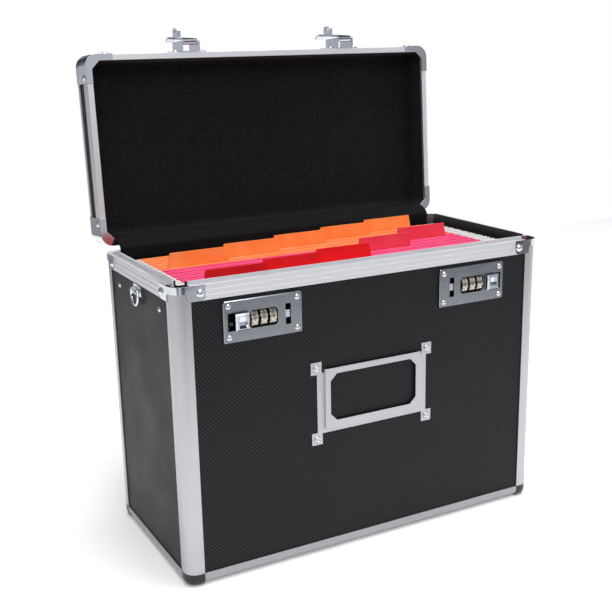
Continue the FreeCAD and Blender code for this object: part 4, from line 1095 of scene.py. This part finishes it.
@dataclass
class CarryHandle:
    """A moulded grip with shallow finger waves, on two arms with eyes for the brackets' pins."""

    arm: float = 3.0
    grip: float = 5.9
    inset: float = 6.0  # from the handle's end to the middle of its arm
    lift: float = 0.4  # of the grip's underside off the CAD handle's
    wave: float = 0.35
    finger: float = 19.0
    bend: float = 7.0
    bend_steps: int = 7
    grip_steps: int = 48
    steps: int = 20
    eye: float = 3.8
    eye_half: float = 2.9
    eye_hole: float = 2.1
    eye_round: float = 0.3
    eye_steps: int = 28

    def build(self) -> Object:
        """Sweeps the grip and arms and adds the eyes, hanging as the CAD handle does."""
        hinge = next(joint for joint in frame["joints"] if joint["name"] == "handle_hinge")
        low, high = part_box("carry_handle")
        pivot = Vector(hinge["pos_m"])
        half = high.x - self.inset * MM
        drop = pivot.z - (low.z + self.grip * MM + self.lift * MM)
        shape = bmesh.new()
        rings = []
        for point, way, reach, rise in self.route(half, drop):
            side = way.cross(Vector((0, 1, 0))).normalized()
            ring = []
            for step in range(self.steps):
                angle = 2 * math.pi * step / self.steps
                offset = side * reach * math.cos(angle) + Vector((0, rise * math.sin(angle), 0))
                ring.append(shape.verts.new(pivot + point + offset))
            rings.append(ring)
        join_rings(shape, rings)
        for ring in (rings[0], rings[-1]):
            shape.faces.new(ring)
        for side in SIDES.values():
            self.add_eye(shape, pivot + Vector((side * half, 0, 0)))
        bmesh.ops.recalc_face_normals(shape, faces=shape.faces)
        mesh = smooth(mesh_from("moulded_handle", shape))
        mesh.materials.append(MOULDING.build())
        piece = mesh_object("moulded_handle", mesh, "handle")
        split = piece.modifiers.new("crisp_edges", "EDGE_SPLIT")
        split.split_angle = math.radians(40)
        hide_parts("carry_handle")
        return piece

    def route(self, half: float, drop: float) -> list[tuple[Vector, Vector, float, float]]:
        """Gives the stations of the sweep, down one arm, along the grip and up the other.

        Args:
            half: Half the distance between the arms.
            drop: How far the grip hangs below the hinge's line.

        Returns:
            Each station's point, its direction, and half its width and its thickness.
        """
        bend = self.bend * MM
        stations = [(Vector((-half, 0, -z * MM)), -UP) for z in (2.6, 5, 8)]
        for step in range(1, self.bend_steps):
            angle = math.pi / 2 * step / self.bend_steps
            corner = Vector((-half + bend, 0, -drop + bend))
            spot = corner + Vector((-math.cos(angle), 0, -math.sin(angle))) * bend
            stations.append((spot, Vector((math.sin(angle), 0, -math.cos(angle)))))
        first_side = stations[:]
        span = 2 * (half - bend)
        for step in range(self.grip_steps + 1):
            x = -span / 2 + span * step / self.grip_steps
            stations.append((Vector((x, 0, -drop)), Vector((1, 0, 0))))
        mirrored = [
            (Vector((-point.x, 0, point.z)), Vector((way.x, 0, -way.z)))
            for point, way in reversed(first_side)
        ]
        sections = []
        for point, way in stations + mirrored:
            share = min(1.0, max(0.0, (half - abs(point.x)) / (2.2 * bend)))
            share = share * share * (3 - 2 * share)
            reach = (self.arm + (self.grip - self.arm) * share) * MM
            hollow = 1 - math.cos(2 * math.pi * point.x / (self.finger * MM))
            width = reach - hollow * self.wave * MM * share
            sections.append((point, way, width, reach * (1.12 - 0.12 * share)))
        return sections

    def add_eye(self, shape: bmesh.types.BMesh, centre: Vector) -> None:
        """Adds one eye, a short thick ring about the hinge's line."""
        rings = []
        for x, radius in (
            (-self.eye_half, self.eye_hole),
            (-self.eye_half, self.eye - self.eye_round),
            (-self.eye_half + self.eye_round, self.eye),
            (self.eye_half - self.eye_round, self.eye),
            (self.eye_half, self.eye - self.eye_round),
            (self.eye_half, self.eye_hole),
        ):
            ring = []
            for step in range(self.eye_steps):
                angle = 2 * math.pi * step / self.eye_steps
                offset = Vector((x, radius * math.cos(angle), radius * math.sin(angle)))
                ring.append(shape.verts.new(centre + offset * MM))
            rings.append(ring)
        join_rings(shape, [*rings, rings[0]])


# ---------------------------------------------------------------- studio


@dataclass
class Studio:
    """A pale floor, soft lights and the camera."""

    lens: float = 58.4
    azimuth: float = -27.91
    elevation: float = 15.23
    roll: float = -1.24
    shift: tuple[float, float] = (0.0041, 0.0134)
    place: Triple = (-423.4, -757.8, 422.6)
    aim: Triple = (0, 0, 200)
    floor_glow: float = 0.15

    def build(self) -> None:
        """Sets up the studio."""
        bpy.context.scene.view_settings.view_transform = "Standard"
        self.floor()
        self.light("key", (-700, -2400, 2200), 1900, 40)
        self.light("fill", (2300, -1300, 1300), 1000, 10)
        self.light("top", (200, -100, 2600), 1700, 72)
        self.sky()
        self.camera()

    def floor(self) -> None:
        """Lays pale paper on the floor, lit a little from below as on a light table."""
        rows = [[Vector((x, y, 0)) for x in (-1.8, 0, 1.8)] for y in (-0.75, 0, 1.0)]
        mesh = grid_mesh("floor", rows)
        point_normals(mesh, lambda _: UP)
        paper = Finish("white_paper", "#F8F8F8", 0.9).build()
        shader = paper.node_tree.nodes["Principled BSDF"]
        shader.inputs["Emission Color"].default_value = linear("#FFFFFF")
        shader.inputs["Emission Strength"].default_value = self.floor_glow
        mesh.materials.append(paper)
        mesh_object("floor", mesh, None)

    def light(
        self, name: str, place: Triple, size: float, power: float
    ) -> None:
        """Adds a square soft box that looks at the case.

        Args:
            name: The light's name.
            place: Where it stands, in millimetres.
            size: Its side, in millimetres.
            power: Its power, in watts.
        """
        lamp = bpy.data.lights.new(name, "AREA")
        lamp.shape = "SQUARE"
        lamp.size = size * MM
        lamp.energy = power
        thing = new_object(name, lamp)
        thing.location = Vector(place) * MM
        aim = Vector(self.aim) * MM - thing.location
        thing.rotation_mode = "QUATERNION"
        thing.rotation_quaternion = aim.to_track_quat("-Z", "Y")

    def sky(self) -> None:
        """Surrounds the case with grey, paler above; polished metal sees pale and dark patches."""
        world = bpy.data.worlds.new("studio")
        bpy.context.scene.world = world
        world.use_nodes = True
        tree = world.node_tree
        tree.nodes.clear()
        way = add_node(tree, "ShaderNodeTexCoord").outputs["Generated"]
        up = add_node(tree, "ShaderNodeSeparateXYZ", {0: way}).outputs["Z"]
        patches = add_node(tree, "ShaderNodeTexNoise", {"Vector": way, "Scale": 2.6, "Detail": 1.0})
        path = add_node(tree, "ShaderNodeLightPath")
        greys = []
        for value, low, high, dark, pale in (
            (up, -0.05, 0.75, "#1C1D1F", "#7C7E82"),
            (patches.outputs["Fac"], 0.43, 0.58, "#2A2C30", "#CDD0D5"),
        ):
            limits = {"Value": value, "From Min": low, "From Max": high}
            share = add_node(tree, "ShaderNodeMapRange", limits).outputs["Result"]
            ends = {0: share, 6: linear(dark), 7: linear(pale)}
            greys.append(add_node(tree, "ShaderNodeMix", ends, data_type="RGBA").outputs[2])
        seen = greys[0]
        for ray, other in (("Is Glossy Ray", greys[1]), ("Is Camera Ray", linear("#FFFFFF"))):
            ends = {0: path.outputs[ray], 6: seen, 7: other}
            seen = add_node(tree, "ShaderNodeMix", ends, data_type="RGBA").outputs[2]
        glow = add_node(tree, "ShaderNodeBackground", {"Color": seen, "Strength": 1.0})
        add_node(tree, "ShaderNodeOutputWorld", {"Surface": glow.outputs["Background"]})

    def camera(self) -> None:
        """Makes the camera, a little left of the case's front and above it."""
        data = bpy.data.cameras.new("camera")
        data.lens = self.lens
        data.sensor_width = 36
        data.shift_x, data.shift_y = self.shift
        thing = new_object("camera", data)
        turn, tilt, roll = (math.radians(a) for a in (self.azimuth, self.elevation, self.roll))
        back = Vector(
            (math.sin(turn) * math.cos(tilt), -math.cos(turn) * math.cos(tilt), math.sin(tilt))
        )
        level = (-back).cross(UP).normalized()
        rise = level.cross(-back)
        right = level * math.cos(roll) + rise * math.sin(roll)
        up = rise * math.cos(roll) - level * math.sin(roll)
        matrix = Matrix((right, up, back)).transposed().to_4x4()
        matrix.translation = Vector(self.place) * MM
        thing.matrix_world = matrix
        bpy.context.scene.camera = thing


def main() -> None:
    """Builds every sub-assembly, then the studio."""
    logging.basicConfig(level=logging.INFO, format="%(name)s: %(message)s")
    assemblies = [
        Carcass(),
        Lid(),
        Hasps(),
        *(CombinationLock(side) for side in SIDES),
        SideFittings(),
        HangingFiles(),
        CarryHandle(),
        LidLining(),
        BodyLining(),
        HingeCloth(),
    ]
    for assembly in assemblies:
        assembly.build()
        LOG.info("%s built", type(assembly).__name__)
    tree = head_tree()
    for node, body, form in (
        ("frame_rivets", "case", HeadForm.DOMED),
        ("lock_rivets", "case", HeadForm.DOMED),
        ("label_rivets", "case", HeadForm.TUBULAR),
        ("lid_rivets", "lid", HeadForm.DOMED),
    ):
        RivetHeads(node, body, form).build(tree)
    Studio().build()


if __name__ == "__main__":
    main()
